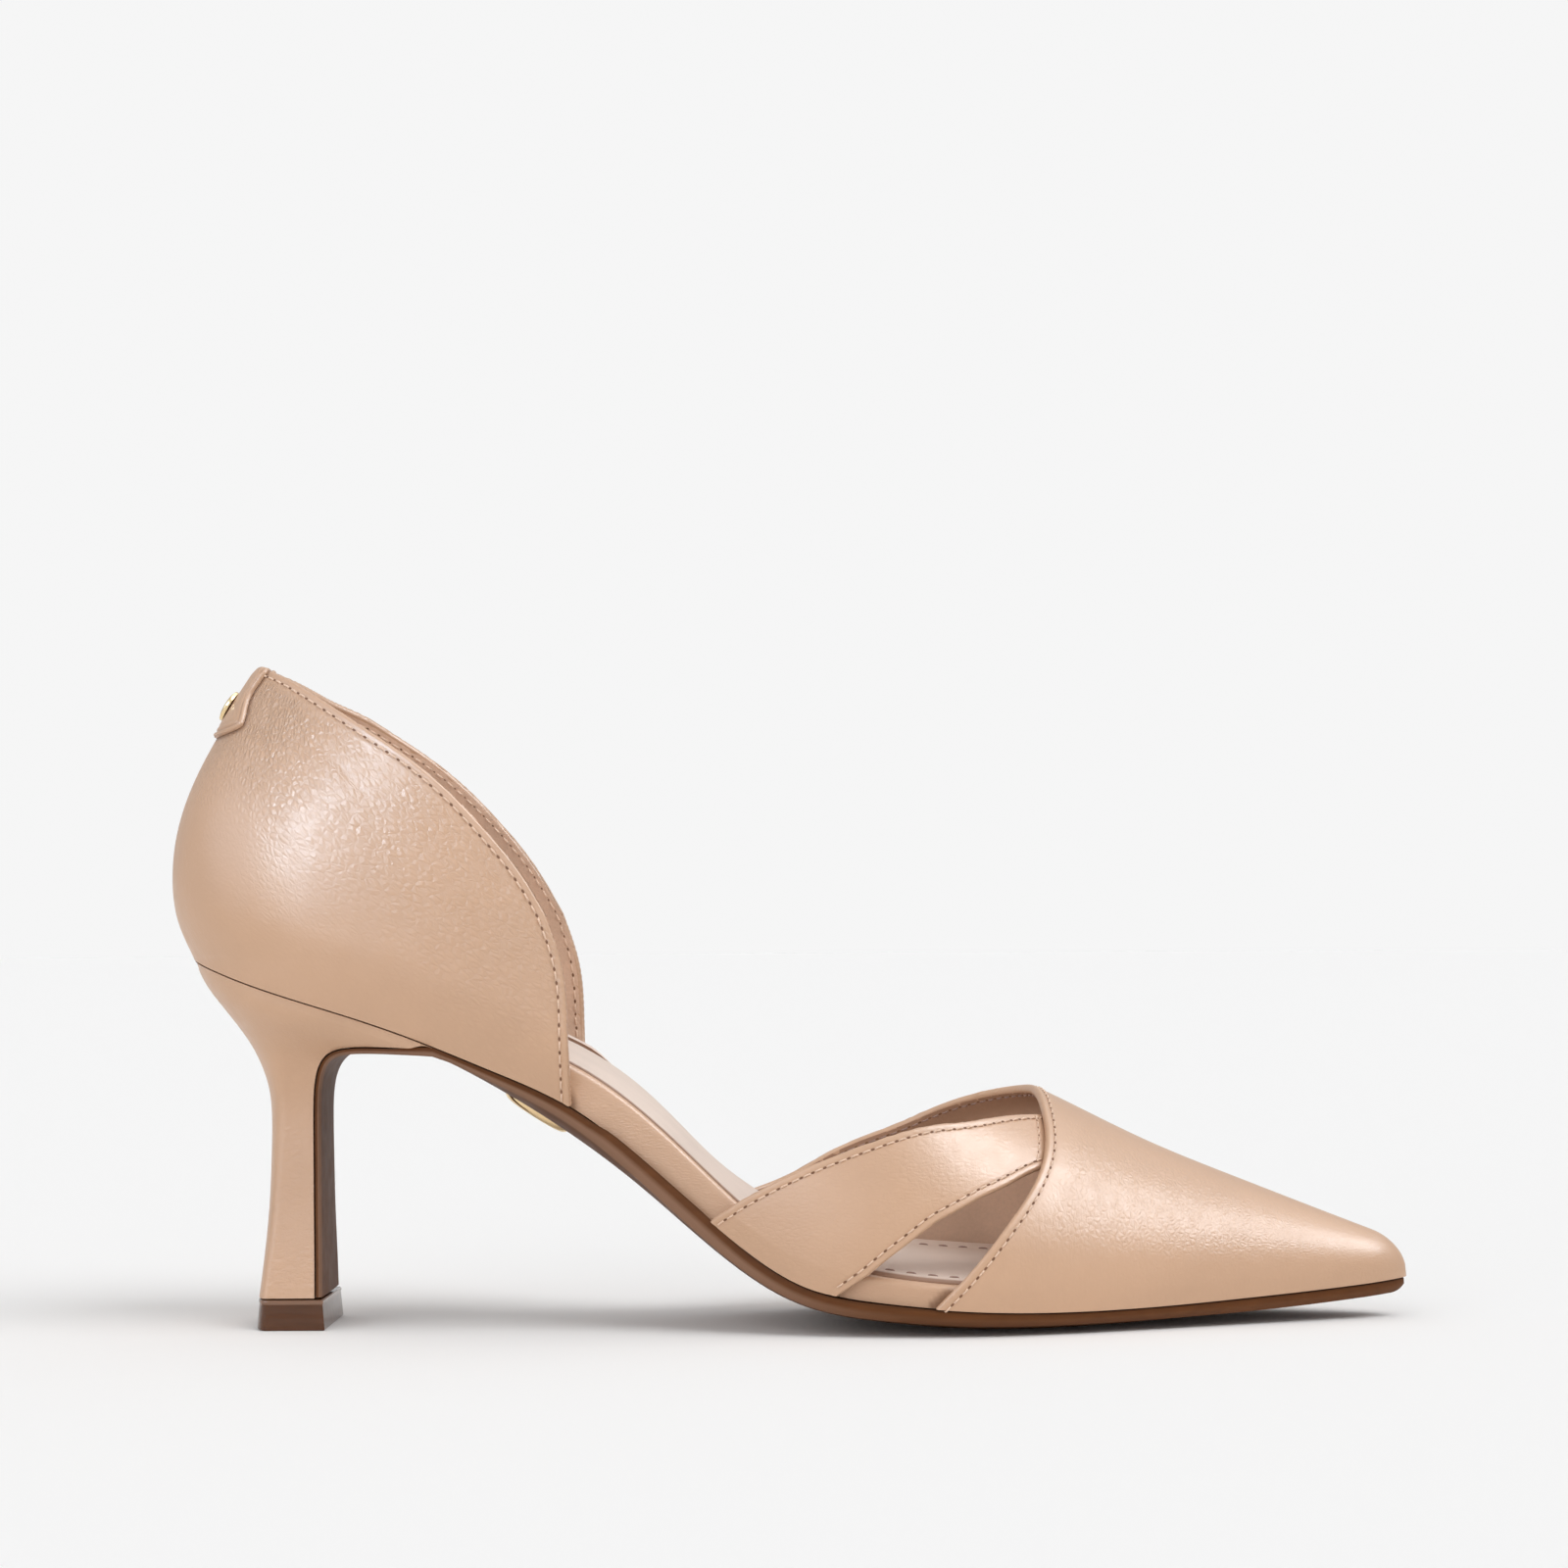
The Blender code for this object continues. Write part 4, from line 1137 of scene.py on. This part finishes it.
def make_quarter():
    around = (graded(345, 0.3, 0.3, 0.05) * 2.0 - 1.0)[None, :]
    rise = graded(131, 1.0, 0.25, 0.1)[:, None]
    grid = quarter_form(rise, around)
    edge = np.vstack([grid[:, 0], grid[-1, 1:-1], grid[::-1, -1]])
    skin = Skin(grid, BACKWARDS, [edge])
    depth = crease_depth(grid)
    relief = fold_relief(skin.distance, UPPER_ROW) - depth
    # Painted shade in the creases and along the stitch row
    shade = row_shade(skin.distance, UPPER_ROW) + 0.12 * depth
    # Painted shadow on the heel cup along the tab's border
    tab_edge = Points(tab_border(tab_base(*tab_chart())[0]))
    shade = shade + TAB_CONTACT_SHADE * (1.0 - ramp(tab_edge.distances(grid), *TAB_CONTACT_RAMP))
    collar = Points(grid[-1]).distances(grid)
    arc = np.broadcast_to(np.abs(around), collar.shape) * 90.0
    zone = (1.0 - ramp(collar, *PEBBLE_ZONE_DROP)) * ramp(collar, *PEBBLE_ZONE_EDGE)
    zone = zone * ramp(arc, *PEBBLE_ZONE_BACK) * (1.0 - 0.72 * ramp(arc, *PEBBLE_ZONE_FRONT))
    grain = 0.10 + 0.90 * zone
    wrinkle = 0.05 + 0.16 * zone
    height = grid[..., 2]
    side = np.sign(around) * np.ones_like(arc)
    chart = np.stack([(arc + 0.5 * height) / 1.6, height / 7.0, side], axis=-1)
    add_upper("quarter", skin, QUARTER_WALL, relief, shade, grain, wrinkle, chart)
    inner_rise = np.linspace(0.005, 0.986, 60)[:, None]
    inner = quarter_form(inner_rise, np.linspace(-0.994, 0.994, 140)[None, :])
    lining = add_lining("quarter_lining", inner, BACKWARDS, QUARTER_WALL)
    brim = np.vstack([lining.grid[:, 0], lining.grid[-1, 1:-1], lining.grid[::-1, -1]])
    rows = [
        (skin.inset_row(edge, UPPER_ROW), skin),
        (lining.inset_row(brim, LINING_ROW), lining),
    ]
    add_stitches("quarter_stitches", rows, QUARTER_PITCH)


# Heel tab and stud

def back_form(spread, height):
    """Outside of the heel cup by a fraction around its back and a height."""
    u = forward_share(spread)
    side = np.where(spread < 0.0, -1.0, 1.0)
    return heel_cup(HEEL_BACK + (QUARTER_CORNER - HEEL_BACK) * u, height, side)


def tab_base(spread, climb):
    """Points and normals of the path that the tab takes: up the back, over the collar and down inside."""
    u = forward_share(spread)
    half = QUARTER_WALL / 2.0
    fold_height = QUARTER["topline"](HEEL_BACK + (QUARTER_CORNER - HEEL_BACK) * u) - half
    outside = np.minimum(climb, fold_height - TAB_FOOT)
    turn = np.clip((climb - outside) / (half * math.pi), 0.0, 1.0) * math.pi
    inside = np.maximum(climb - outside - half * math.pi, 0.0)
    height = TAB_FOOT + outside - inside
    aside = back_form(spread + 0.004, height) - back_form(spread - 0.004, height)
    upward = unit(back_form(spread, height + 0.1) - back_form(spread, height - 0.1))
    out = unit(np.cross(upward, aside))
    middle = back_form(spread, height) - out * half
    normal = out * np.cos(turn)[..., None] + upward * np.sin(turn)[..., None]
    return middle + normal * half, normal


def tab_chart():
    """Spread and climb of the tab's grid, its foot rounded and its sides tapered."""
    stretches = ((0.0, 3.0, 16), (3.25, 13.5, 40), (13.7, 16.6, 24), (16.9, 16.6 + TAB_INSIDE, 18))
    climb = np.concatenate([np.linspace(*stretch) for stretch in stretches])[:, None]
    taper = 1.0 - TAB_TAPER * ramp(climb, *TAB_TAPER_RAMP)
    neck = 1.0 - TAB_NECK * ramp(climb, *TAB_NECK_RAMP)
    spread = TAB_SPREAD * end_round(climb, TAB_CORNER, -0.05) * taper * neck
    across = (graded(61, 0.4, 0.4, 0.2) * 2.0 - 1.0)[None, :] * spread
    return across, np.broadcast_to(climb, across.shape)


def tab_border(base):
    """Dense points along the tab's sides and foot."""
    border = np.vstack([base[::-1, 0], base[0, 1:-1], base[:, -1]])
    return along(border, np.arange(0.0, path_length(border), 0.2))


def make_heel_tab():
    across, climb = tab_chart()
    base, normals = tab_base(across, climb)
    distance = Points(tab_border(base)).distances(base)
    over = np.minimum(distance, TAB_ROLL) / TAB_ROLL * 2.0 - 1.0
    bead = 0.90 * np.sqrt(np.maximum(1.0 - over**2, 0.0))
    edge = np.maximum(bead, 0.50 * ramp(distance, 0.7, TAB_ROLL))
    panel = 0.50 + 0.35 * ramp(distance, TAB_ROLL, TAB_ROLL + 0.8)
    thick = np.where(distance < TAB_ROLL, edge, panel) - 0.10 * bell(distance, TAB_ROW, 0.35)
    thick = thick * (1.0 - 0.6 * ramp(climb, 12.0, 15.5))
    outside = base + normals * (TAB_LIFT + thick)[..., None]
    vertices, faces = wall_between(outside, base + normals * TAB_LIFT)
    # Painted shade in the crease inside the bead and along the stitch row
    shade = 0.6 * bell(distance, TAB_ROLL + 0.05, 0.22) + row_shade(distance, TAB_ROW)
    fields = plain_fields(len(vertices), shade=doubled(shade)[0], grain=0.2)
    add_piece("heel_tab", vertices, faces, [CALF], ("heel_tab",), fields)


def seat_frame(normal):
    """Three unit directions of a fitting whose top looks along a direction."""
    top = np.asarray(normal, float) / np.linalg.norm(normal)
    aside = np.array([0.0, 1.0, 0.0])
    return unit(np.cross(aside, top)), aside, top


def make_heel_stud():
    slope = float(BACK["station"](STUD_HEIGHT + 0.5) - BACK["station"](STUD_HEIGHT - 0.5))
    normal = np.array([-1.0, 0.0, slope]) / math.hypot(1.0, slope)
    surface = np.array([float(BACK["station"](STUD_HEIGHT)), 0.0, STUD_HEIGHT])
    centre = surface + normal * (2.0 * GAP + TAB_THICK)
    first, second, top = seat_frame(normal)
    angle = np.arange(72) * 2.0 * math.pi / 72.0
    spoke = np.cos(angle)[:, None] * first + np.sin(angle)[:, None] * second
    rings = [centre + spoke * max(radius, 0.01) + top * height for radius, height in STUD_PROFILE]
    vertices, faces = loft(rings)
    add_piece("heel_stud", vertices, faces, [METAL], ("heel_stud",))


# Insole, sole and heel

def plain_fields(count, shade=0.0, grain=0.0, wrinkle=0.0, chart=0.0):
    """Fields of the leather for a plain piece, each one value or a value for every point."""
    values = {"shade": shade, "grain": grain, "wrinkle": wrinkle}
    fields = {key: np.full(count, value, float) for key, value in values.items()}
    fields["chart"] = np.full((count, 3), chart, float)
    return fields


def waist_tilt(station):
    """Height by which the inner side of the insole stands over its outer side."""
    waist = WAIST_TILT * plateau(station, *WAIST_TILT_RAMPS)
    return waist + FORE_TILT * plateau(station, *FORE_TILT_RAMPS)


def board_side(reach, thick):
    """Half of a board section, from its foot up its round edge."""
    corner = min(BOARD_ROUND, reach * 0.7)
    angle = np.linspace(0.0, math.pi / 2.0, 9)
    face = np.linspace(0.0, thick - corner, 9)[:-1]
    end = reach - corner - min(0.2, 0.1 * reach)
    y = np.concatenate([np.full(8, reach), reach - corner * (1.0 - np.cos(angle)), [end]])
    z = np.concatenate([face, thick - corner * (1.0 - np.sin(angle)), [thick - 0.1]])
    return y, z


def make_insole_board():
    fraction = np.linspace(0.006, 0.994, 420)
    station, centre, reach = insole_line(fraction, BOARD_INSET, BOARD_TIP)
    foot = LAST["feather"](station)
    thick = LAST["board"](station)
    tilt = waist_tilt(station)
    rings = []
    for i in range(len(station)):
        inner_y, inner_z = board_side(reach[i], thick[i] + tilt[i])
        outer_y, outer_z = board_side(reach[i], thick[i])
        ring_y = centre[i] + np.concatenate([inner_y, -outer_y[::-1]])
        ring_z = foot[i] + np.concatenate([inner_z, outer_z[::-1]])
        rings.append(np.column_stack([np.full(len(ring_y), station[i]), ring_y, ring_z]))
    vertices, faces = loft(rings)
    chart = np.stack([vertices[:, 0] / 2.5, vertices[:, 2] / 2.5, vertices[:, 1] / 4.0], axis=-1)
    # Painted shadow on the board at the feet of the vamp and of the quarter's front edge, and painted shade
    # towards the forepart
    turn = np.linspace(-1.0, -0.8, 80)
    station = VAMP_EDGE["station"](turn)
    vamp_foot = forepart(station, turn) - forepart_normal(station, turn) * VAMP_WALL
    quarter_foot = quarter_form(np.linspace(0.0, 0.5, 80), -1.0) + np.array([0.0, QUARTER_WALL, 0.0])
    feet = Points(np.vstack([vamp_foot, quarter_foot]))
    shade = 0.9 * (1.0 - ramp(feet.distances(vertices), 0.8, 2.0))
    shade = shade + 0.1 * ramp(vertices[:, 0], 112.0, 130.0)
    fields = plain_fields(len(vertices), shade, 0.15, 0.2, chart)
    add_piece("insole_board", vertices, faces, [CALF], ("insole_board",), fields)


def sock_top(station, t):
    """Height of the padded sock over the outer board, at a station and a share of its half width."""
    level = 1.0 - 0.9 * plateau(station, *WAIST_TILT_RAMPS)
    crown = SOCK_CROWN * (LAST["sock"](station) - 1.0) * (1.0 - t * t) * level
    curl = FORE_CURL * plateau(station, *FORE_TILT_RAMPS) * ramp(t, 0.84, 0.97)
    edge = SOCK_EDGE + FORE_EDGE * ramp(station, 108.0, 130.0)
    tilt = waist_tilt(station) * (1.0 + t) / 2.0
    return edge * end_round(np.abs(t), 0.96, 1.0) + crown + curl + tilt


SOCK_ACROSS = 45
SOCK_LINE_SHADE = 0.95
SOCK_LINE_RAMP = (0.972, 0.988)
SOCK_ROW = 3.4
SOCK_ROW_SHIFT = 1.2
SOCK_ROW_SPAN = (0.52, 0.93)

# Inner edge of the sock at the waist: steps outwards and upwards, and how much painted shadow each carries
UPSTAND = np.array([
    (0.05, 0.50, 0.95),
    (0.10, 1.15, 0.95),
    (0.20, 1.22, 0.0),
    (0.40, 1.52, 0.0),
    (0.80, 1.60, 0.0),
    (1.10, 1.40, 0.0),
    (1.20, 0.00, 0.0),
])


def make_insole_sock():
    fraction = np.linspace(0.006, 0.994, 190)
    station, centre, reach = insole_line(fraction, SOCK_INSET, SOCK_TIP)
    foot = LAST["feather"](station) + LAST["board"](station)
    t = np.sin(np.linspace(-math.pi / 2.0, math.pi / 2.0, SOCK_ACROSS))
    rings = []
    for i in range(len(station)):
        x = np.full(SOCK_ACROSS, station[i])
        top = np.column_stack([x, centre[i] + t * reach[i], foot[i] + sock_top(station[i], t)])
        step = UPSTAND[:, :2] * plateau(station[i], *UPSTAND_RAMPS)
        upstand = top[-1] + np.column_stack([np.zeros(len(step)), step])
        low = top[1:-1][::-1].copy()
        low[:, 2] = foot[i] - 0.15
        rings.append(np.vstack([top, upstand, low]))
    vertices, faces = loft(rings)
    # Painted shadow along the sock's edges and at the foot of its inner upstand, and painted shade towards
    # the forepart
    edges = SOCK_LINE_SHADE * ramp(np.abs(t), *SOCK_LINE_RAMP)
    section = np.concatenate([edges, UPSTAND[:, 2], np.zeros(SOCK_ACROSS - 2)])
    shade = np.maximum(section[None, :], 0.13 * ramp(station, 108.0, 135.0)[:, None]).ravel()
    fields = {"shade": np.append(shade, [0.0, 0.0])}
    sock = add_piece("insole_sock", vertices, faces, [SOCK_CALF], ("insole_sock",), fields)
    top = np.array([ring[:SOCK_ACROSS] for ring in rings])
    skin = Skin(top, UP, [top[:, 0], top[:, -1]])
    rows = []
    fore = np.linspace(*SOCK_ROW_SPAN, 300)
    line_x, line_y, line_reach = insole_line(fore, SOCK_INSET, SOCK_TIP)
    base = LAST["feather"](line_x) + LAST["board"](line_x)
    for side in (-1.0, 1.0):
        share = side * np.maximum(1.0 - (SOCK_ROW + SOCK_ROW_SHIFT * side) / line_reach, 0.1)
        path = np.column_stack([line_x, line_y + share * line_reach, base + sock_top(line_x, share)])
        rows.append((path, skin))
    add_stitches("sock_stitches", rows, SOCK_PITCH, 0.6, DARK_THREAD, False)


SOLE_ACROSS = 25
SIDE_SHARES = (0.06, 0.12, 0.35, 0.62)
GAP_SHADOW_SHARE = 0.6
BEVEL_LIGHT_SHARE = 0.95


def sole_ring(upper, lower, reach):
    """Ring of a sole section from its upper and lower points across, with a bevel along its lower edges."""
    keep = max(1.0 - SOLE_BEVEL / max(reach, 2.0 * SOLE_BEVEL), 0.4)
    right = [upper[-1] + (lower[-1] - upper[-1]) * share for share in SIDE_SHARES]
    left = [upper[0] + (lower[0] - upper[0]) * share for share in SIDE_SHARES[::-1]]
    middle = lower.mean(axis=0)
    under = lower.copy()
    under[:, 1] = middle[1] + (lower[:, 1] - middle[1]) * keep
    return np.vstack([upper, right, under[::-1], left])


def flap_rings():
    """Sections of the sole's flap, up the heel breast and on to the arch."""
    level = np.linspace(FLAP_FOOT_LEVEL, HEEL_TOP_LEVEL, 70)
    path_x = HEEL["front_x"](level)
    path_z = HEEL["front_z"](level)
    ahead = unit(np.stack([np.gradient(path_x), np.gradient(path_z)], axis=-1))
    t = np.linspace(-1.0, 1.0, SOLE_ACROSS)
    deep = GAP + FLAP_EDGE + (FLAP_CROWN - FLAP_EDGE) * (1.0 - t * t)
    rings = []
    for i in range(len(level)):
        out_x, out_z = ahead[i, 1], -ahead[i, 0]
        close = float(ramp(level[i], 8.0, HEEL_TOP_LEVEL))
        reach = float(HEEL["half_width"](level[i])) - GAP - close
        y = t * reach
        flat = np.full(SOLE_ACROSS, GAP - 0.75 * close)
        inner = np.column_stack([path_x[i] + out_x * flat, y, path_z[i] + out_z * flat])
        outer = np.column_stack([path_x[i] + out_x * deep, y, path_z[i] + out_z * deep])
        rings.append(sole_ring(inner, outer, reach))
    return rings


def sole_rings():
    """Sections of the sole from the arch to the tip, flat where they meet the floor."""
    fractions = np.linspace(0.012, 0.988, 200)
    t = np.linspace(-1.0, 1.0, SOLE_ACROSS)[:, None]
    rings = []
    for part in fractions[station_at(fractions) > SOLE_FROM]:
        left, right = outline(part, -1.0, SOLE_INSET), outline(part, 1.0, SOLE_INSET)
        line = left * (1.0 - t) / 2.0 + right * (1.0 + t) / 2.0
        x = line[:, 0]
        z = LAST["feather"](x) - GAP
        edge = LAST["edge"](x)
        deep = edge + (LAST["crown"](x) - edge) * (1.0 - np.abs(t[:, 0]) ** SOLE_FLATNESS)
        deep = deep * end_round(x, *SOLE_TIP_ROUND)
        out_x, out_z = feather_down(x)
        upper = np.column_stack([line, z])
        upper[[0, -1], 2] += SOLE_LIP_RISE * plateau(x[[0, -1]], *SOLE_LIP_RAMPS)
        lower = np.column_stack([x + out_x * deep, line[:, 1], np.maximum(z + out_z * deep, 0.0)])
        rings.append(sole_ring(upper, lower, (right[1] - left[1]) / 2.0))
    return rings


def make_outsole():
    rings = flap_rings() + sole_rings()
    sides = len(SIDE_SHARES)
    # Painted shadow along the sole's top corners, where it meets the upper and the heel
    lip = np.zeros(len(rings[0]))
    lip[[0, SOLE_ACROSS - 1, SOLE_ACROSS, -1]] = GAP_SHADOW_SHARE
    # Painted light along the lower bevel, strongest under the arch and fading towards the forepart
    rim = np.zeros(len(rings[0]))
    right_bevel = SOLE_ACROSS + sides
    left_bevel = right_bevel + SOLE_ACROSS - 1
    rim[[right_bevel - 1, right_bevel, left_bevel, left_bevel + 1]] = BEVEL_LIGHT_SHARE
    station = np.array([ring[:, 0].mean() for ring in rings])
    painted_light = 1.0 - 0.85 * ramp(station, 112.0, 150.0)
    vertices, faces = loft(rings)
    fields = {
        "lip": np.append(np.tile(lip, len(rings)), [0.0, 0.0]),
        "rim": np.append(np.outer(painted_light, rim).ravel(), [0.0, 0.0]),
    }
    add_piece("outsole", vertices, faces, [SOLE], ("outsole",), fields)


def heel_ring(level):
    """Section of the heel, from the outer breast corner round the back to the inner one."""
    front = 1.0 - np.cos(np.linspace(0.0, math.pi / 2.0, HEEL_POINTS))
    back_x, back_z = HEEL["back_x"](level), HEEL["back_z"](level)
    x = back_x + (HEEL["front_x"](level) - back_x) * front
    flat = back_z + (HEEL["front_z"](level) - back_z) * front
    seat = LAST["feather"](x) - GAP
    mix = ramp(level, HEEL_SEAT_LEVEL, HEEL_TOP_LEVEL)
    z = np.minimum(flat * (1.0 - mix) + seat * mix, seat)
    square = HEEL["square"](level)
    short = np.clip(1.0 - front / HEEL["reach"](level), 0.0, 1.0)
    reach = HEEL["half_width"](level) * (1.0 - short**square) ** (1.0 / square)
    reach = np.maximum(reach, HEEL_BACK_EDGE)
    outer = np.column_stack([x, -reach, z])[::-1]
    inner = np.column_stack([x, reach, z])
    return np.vstack([outer, inner])


def make_heel():
    seat_levels = np.linspace(HEEL_SEAT_LEVEL + 0.06, HEEL_TOP_LEVEL, 8)
    levels = np.append(np.linspace(0.0, HEEL_SEAT_LEVEL, 90), seat_levels)
    rings = np.array([heel_ring(level) for level in levels])
    count, points = rings.shape[:2]
    vertices = rings.reshape(-1, 3)
    faces = ring_faces(count, points)
    for base in (0, (count - 1) * points):
        for j in range(HEEL_POINTS - 1):
            m = points - 1 - j
            faces.append([base + j, base + j + 1, base + m - 1, base + m])
    low = 1.0 - ramp(vertices[:, 2], 8.0, 26.0)
    chart = np.stack([vertices[:, 0] / 3.0, vertices[:, 1] / 3.0, vertices[:, 2] / 1.6], axis=-1)
    fields = plain_fields(len(vertices), grain=0.12, wrinkle=0.15 + 0.4 * low, chart=chart)
    add_piece("heel", vertices, faces, [CALF], ("heel",), fields)


def make_top_piece():
    ring = heel_ring(0.0)
    back = ring[:, 0].min()
    length = ring[:, 0].max() - back
    cover = length + FLAP_CROWN + GAP
    middle = back + cover / 2.0
    reach = ring[:, 1].max()
    rings, lip = [], []
    # Painted highlight: the rows of the upper bead carry the rim field, which pales the brown
    for height, flare, painted_light in TIP_PIECE_PROFILE:
        x = middle + ((ring[:, 0] - back) / length - 0.5) * (cover + 2.0 * flare)
        y = ring[:, 1] * (1.0 + flare / reach)
        rings.append(np.column_stack([x, y, np.full(len(x), height)]))
        lip.append(np.full(len(x), painted_light))
    vertices, faces = loft(rings)
    rim = np.append(np.concatenate(lip), [0.0, 0.0])
    fields = {"rim": rim, "lip": np.zeros(len(rim))}
    add_piece("top_piece", vertices, faces, [TIP_RUBBER], ("top_piece",), fields)


def sole_underside(station):
    """Lowest line of the sole in the side view."""
    out_x, out_z = feather_down(station)
    deep = LAST["crown"](station)
    return np.array([station + out_x * deep, LAST["feather"](station) - GAP + out_z * deep])


def make_waist_plate():
    reach = PLATE_LENGTH / 2.0
    ahead = unit(sole_underside(PLATE_STATION + reach) - sole_underside(PLATE_STATION - reach))
    normal = np.array([ahead[1], 0.0, -ahead[0]])
    middle = sole_underside(PLATE_STATION)
    surface = np.array([middle[0], float(LAST["centre"](PLATE_STATION)), middle[1]])
    first, second, top = seat_frame(normal)
    angle = np.arange(96) * 2.0 * math.pi / 96.0
    rim = np.cos(angle)[:, None] * first * reach + np.sin(angle)[:, None] * second * PLATE_WIDTH / 2.0
    base = surface + top * (GAP + PLATE_SEAT)
    rings = [base + rim * share + top * PLATE_THICK * height for share, height in PLATE_PROFILE]
    vertices, faces = loft(rings)
    add_piece("waist_plate", vertices, faces, [METAL], ("waist_plate",))


make_vamp()
make_strap()
make_quarter()
make_heel_tab()
make_heel_stud()
make_insole_board()
make_insole_sock()
make_outsole()
make_heel()
make_top_piece()
make_waist_plate()


# Studio

BACKDROP_TONE = 0.92
FLOOR_TONE = 0.912
STUDIO_REACH = 6.0
WORLD_STRENGTH = 0.64
CAMERA_FAR = 800.0
CAMERA_STATION = 136.56
CAMERA_HEIGHT = 84.07
CAMERA_LENS = 91.08
CAMERA_ROLL = 0.0055
CAMERA_SHIFT = (-0.0423, 0.0762)


def stage_material(name, kind, tone):
    """Flat material of the studio, of one shader."""
    material, tree, _ = new_material(name)
    flat = node(tree, kind, {"Color": (tone, tone, tone, 1.0)})
    tree.links.new(flat.outputs[0], tree.nodes["Material Output"].inputs["Surface"])
    return material


def make_stage():
    reach = STUDIO_REACH
    corners = [(-reach, -reach, 0.0), (reach, -reach, 0.0), (reach, reach, 0.0), (-reach, reach, 0.0)]
    floor_mesh = bpy.data.meshes.new("floor")
    floor_mesh.from_pydata(corners, [], [(0, 1, 2, 3)])
    floor_mesh.materials.append(stage_material("pale_floor", "ShaderNodeBsdfDiffuse", FLOOR_TONE))
    floor = bpy.data.objects.new("floor", floor_mesh)
    bpy.ops.mesh.primitive_uv_sphere_add(radius=STUDIO_REACH, segments=48, ring_count=24)
    dome = bpy.context.object
    dome.name = "backdrop"
    dome.data.materials.append(stage_material("pale_backdrop", "ShaderNodeEmission", BACKDROP_TONE))
    dome.visible_diffuse = False
    dome.visible_glossy = False
    dome.visible_transmission = False
    dome.visible_shadow = False
    bpy.context.scene.collection.objects.link(floor)


def add_light(name, kind, towards, strength, tint, gloss_only):
    """Add a light that shines from a direction, on everything or as a highlight only."""
    light = bpy.data.lights.new(name, kind)
    light.energy = strength
    light.color = tint
    item = bpy.data.objects.new(name, light)
    item.visible_diffuse = not gloss_only
    item.rotation_euler = Vector(towards).to_track_quat("Z", "Y").to_euler()
    bpy.context.scene.collection.objects.link(item)
    return item


def add_sun(name, towards, angle, strength, tint=(1.0, 1.0, 1.0), gloss_only=False):
    """Add a broad soft light from far away."""
    item = add_light(name, "SUN", towards, strength, tint, gloss_only)
    item.data.angle = math.radians(angle)
    return item


def add_box(name, place, aim, size, beam, power, tint):
    """Add a square soft box with a narrow beam that shows as a highlight only."""
    item = add_light(name, "AREA", np.subtract(place, aim), power, tint, True)
    item.data.size = size * MM
    item.data.spread = math.radians(beam)
    item.location = (np.array(place) + ORIGIN) * MM


def make_lights():
    world = bpy.data.worlds.new("studio")
    world.use_nodes = True
    sky = world.node_tree.nodes["Background"]
    feed(world.node_tree, sky, {"Color": (1.0, 1.0, 1.0, 1.0), "Strength": WORLD_STRENGTH})
    bpy.context.scene.world = world
    add_sun("key", (0.45, -0.35, 0.82), 40.0, 1.1)
    fill = add_sun("fill", (-0.45, -0.85, 0.3), 60.0, 0.8)
    fill.data.use_shadow = False
    fill.visible_glossy = False
    place = (-110.0, -385.0, 276.0)
    add_box("left_box", place, (26.0, -26.0, 108.0), 130.0, 15.0, 0.058, (0.82, 1.0, 1.18))
    add_sun("left_sky", (-0.75, -0.4, 0.5), 55.0, 1.2, (0.75, 1.0, 1.3), True)
    add_sun("right_box", (0.68, -0.14, 0.71), 34.0, 3.3, (0.92, 1.0, 1.08), True)
    add_sun("top_box", (0.25, 0.2, 0.95), 70.0, 1.35, (1.0, 1.0, 1.0), True)


def make_camera():
    data = bpy.data.cameras.new("camera")
    data.lens = CAMERA_LENS
    data.sensor_width = 36.0
    data.shift_x, data.shift_y = CAMERA_SHIFT
    data.clip_end = 4.0 * STUDIO_REACH
    camera = bpy.data.objects.new("camera", data)
    camera.location = (np.array([CAMERA_STATION, -CAMERA_FAR, CAMERA_HEIGHT]) + ORIGIN) * MM
    camera.rotation_euler = (math.pi / 2.0, CAMERA_ROLL, 0.0)
    bpy.context.scene.collection.objects.link(camera)
    bpy.context.scene.camera = camera


make_stage()
make_lights()
make_camera()
bpy.context.scene.view_settings.view_transform = "Standard"
